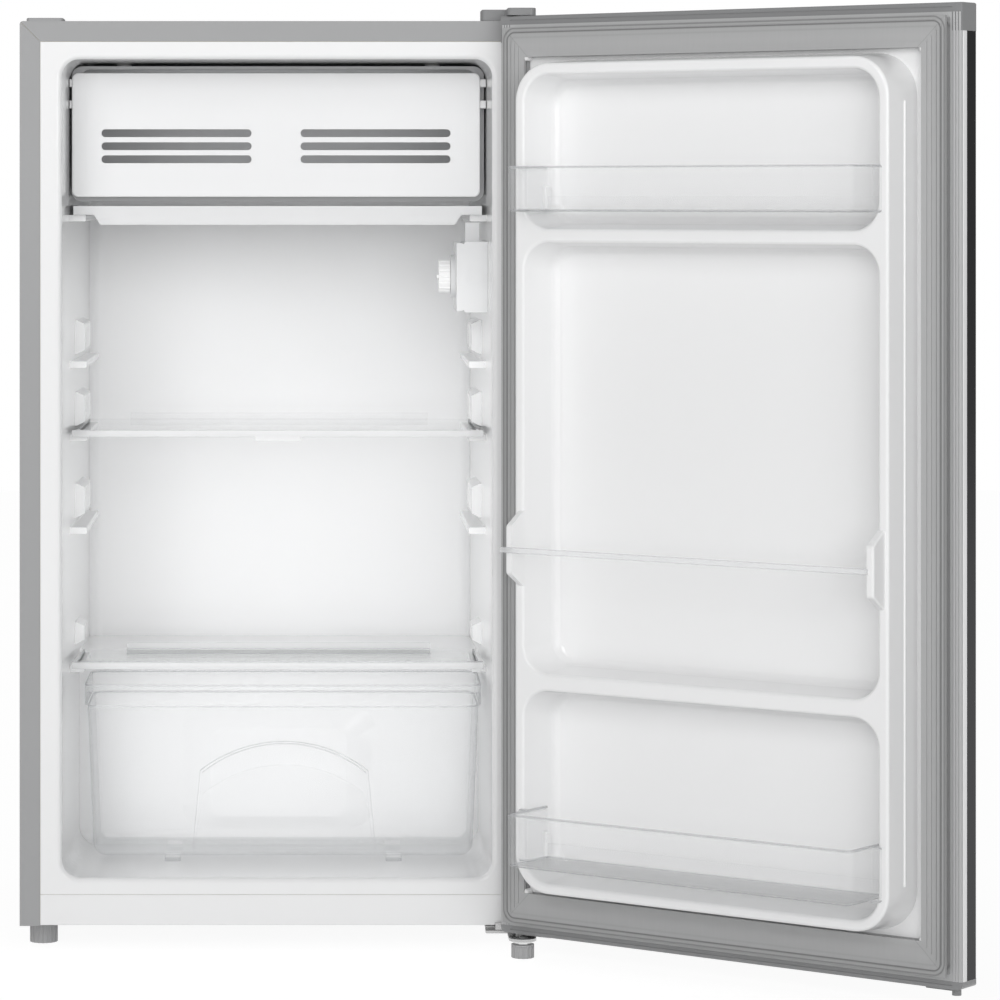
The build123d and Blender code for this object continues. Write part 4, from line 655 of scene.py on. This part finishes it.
class SCENE_OT_fridge_stage(bpy.types.Operator):
    """Floor, lamps, world and camera"""

    bl_idname = "scene.fridge_stage"
    bl_label = "Stage"

    def execute(self, context):
        stage = context.scene.fridge_stage
        self.floor(stage)
        self.lamps()
        self.world(context.scene)
        self.camera(context.scene, stage)
        context.scene.view_settings.view_transform = "Standard"
        context.scene.cycles.diffuse_bounces = 8
        context.scene.cycles.transparent_max_bounces = 32
        return {"FINISHED"}

    def floor(self, stage):
        clear_selection()
        bpy.ops.mesh.primitive_plane_add(size=2 * stage.floor_size, location=(0, 0, CAD_BOX[0][2]))
        floor = bpy.context.object
        floor.name = "studio_floor"
        s = Shader("floor_white")
        s.set(Base_Color=(0.9, 0.9, 0.9, 1.0), Roughness=0.9, Specular_IOR_Level=0.0)
        path = s.node("ShaderNodeLightPath", {}, {}, "Is Camera Ray")
        glossy = s.node("ShaderNodeLightPath", {}, {}, "Is Glossy Ray")
        seen = (path + glossy).clamp()
        glow = s.node("ShaderNodeEmission", {}, {"Color": (1.0, 1.0, 1.0, 1.0), "Strength": 1.14})
        plain = Value(s, s.surface.outputs[0])
        mixed = s.node("ShaderNodeMixShader", {}, {0: seen * 0.80, 1: plain, 2: glow})
        s.tree.links.new(mixed.socket, s.output.inputs[0])
        floor.data.materials.append(s.material)

    def lamps(self):
        self.area("key", (-1.5, -3.4, 2.3), (0.0, 0.1, 0.45), 1.4, 26.0)
        self.area("fill", (1.7, -3.6, 1.4), (0.1, 0.1, 0.45), 1.4, 18.0)
        self.mouth("mouth", (0.0, FRONT_Y + MOUTH_DEPTH, 0.355), 0.38, 0.54, 0.235)
        middle = (Vector(FREEZER[0]) + Vector(FREEZER[1])) / 2
        self.mouth("freezer", (middle.x, FREEZER[0][1] + FREEZER_LAMP_DEPTH, middle.z), 0.30, 0.08, 0.165)
        self.sun("front", (-0.06, -1.0, 0.0), 1.53)

    def lamp(self, name, kind, place, along, energy):
        data = bpy.data.lights.new(name, kind)
        data.energy = energy
        lamp = bpy.data.objects.new(name, data)
        bpy.context.scene.collection.objects.link(lamp)
        lamp.location = place
        lamp.rotation_euler = along.to_track_quat("-Z", "Y").to_euler()
        return lamp

    def area(self, name, place, aim, size, power):
        lamp = self.lamp(name, "AREA", place, Vector(aim) - Vector(place), power)
        lamp.data.size = size
        return lamp

    def mouth(self, name, place, width, height, power):
        """Soft light that an open front lets into a compartment, left out of reflections."""
        lamp = self.area(name, place, Vector(place) + Vector((0.0, 1.0, 0.0)), width, power)
        lamp.data.shape = "RECTANGLE"
        lamp.data.size_y = height
        lamp.visible_glossy = False

    def sun(self, name, place, strength):
        """Even light along the cabinet's depth, left out of reflections."""
        lamp = self.lamp(name, "SUN", place, -Vector(place), strength)
        lamp.data.angle = math.radians(35.0)
        lamp.visible_glossy = False

    def world(self, scene):
        world = bpy.data.worlds.new("studio")
        world.use_nodes = True
        scene.world = world
        tree = world.node_tree
        back = tree.nodes["Background"]
        back.inputs[0].default_value = (1.0, 1.0, 1.0, 1.0)
        back.inputs[1].default_value = 0.37
        white = tree.nodes.new("ShaderNodeBackground")
        white.inputs[0].default_value = (1.0, 1.0, 1.0, 1.0)
        white.inputs[1].default_value = 1.0
        path = tree.nodes.new("ShaderNodeLightPath")
        mixer = tree.nodes.new("ShaderNodeMixShader")
        tree.links.new(path.outputs["Is Camera Ray"], mixer.inputs[0])
        tree.links.new(back.outputs[0], mixer.inputs[1])
        tree.links.new(white.outputs[0], mixer.inputs[2])
        tree.links.new(mixer.outputs[0], tree.nodes["World Output"].inputs[0])

    def camera(self, scene, stage):
        data = bpy.data.cameras.new("camera")
        data.sensor_width = 36.0
        data.lens = stage.focal
        data.shift_x = stage.shift_x
        data.shift_y = stage.shift_y
        data.clip_end = 50.0
        camera = bpy.data.objects.new("camera", data)
        scene.collection.objects.link(camera)
        camera.location = stage.camera_place
        camera.rotation_euler = (math.pi / 2, 0.0, 0.0)
        scene.camera = camera


OPERATORS = (
    MESH_OT_fridge_cabinet,
    MESH_OT_fridge_freezer,
    MESH_OT_fridge_thermostat,
    MESH_OT_fridge_shelves,
    MESH_OT_fridge_door,
    MESH_OT_fridge_door_bins,
    MESH_OT_fridge_hardware,
    MESH_OT_fridge_compressor,
    SCENE_OT_fridge_stage,
)


class VIEW3D_PT_fridge(bpy.types.Panel):
    bl_label = "Mini Fridge"
    bl_space_type = "VIEW_3D"
    bl_region_type = "UI"
    bl_category = "Mini Fridge"

    def draw(self, context):
        for operator in OPERATORS:
            self.layout.operator(operator.bl_idname)
        scene = context.scene
        for group in (scene.fridge_finish, scene.fridge_sizes, scene.fridge_stage):
            for name in group.bl_rna.properties.keys():
                if name not in {"rna_type", "name"}:
                    self.layout.prop(group, name)


CLASSES = (FinishSettings, SizeSettings, StageSettings, *OPERATORS, VIEW3D_PT_fridge)


def register():
    for cls in CLASSES:
        bpy.utils.register_class(cls)
    bpy.types.Scene.fridge_finish = bpy.props.PointerProperty(type=FinishSettings)
    bpy.types.Scene.fridge_sizes = bpy.props.PointerProperty(type=SizeSettings)
    bpy.types.Scene.fridge_stage = bpy.props.PointerProperty(type=StageSettings)


def unregister():
    del bpy.types.Scene.fridge_stage
    del bpy.types.Scene.fridge_sizes
    del bpy.types.Scene.fridge_finish
    for cls in reversed(CLASSES):
        bpy.utils.unregister_class(cls)


def main():
    register()
    for operator in OPERATORS:
        group, name = operator.bl_idname.split(".")
        getattr(getattr(bpy.ops, group), name)()


if __name__ == "__main__":
    main()
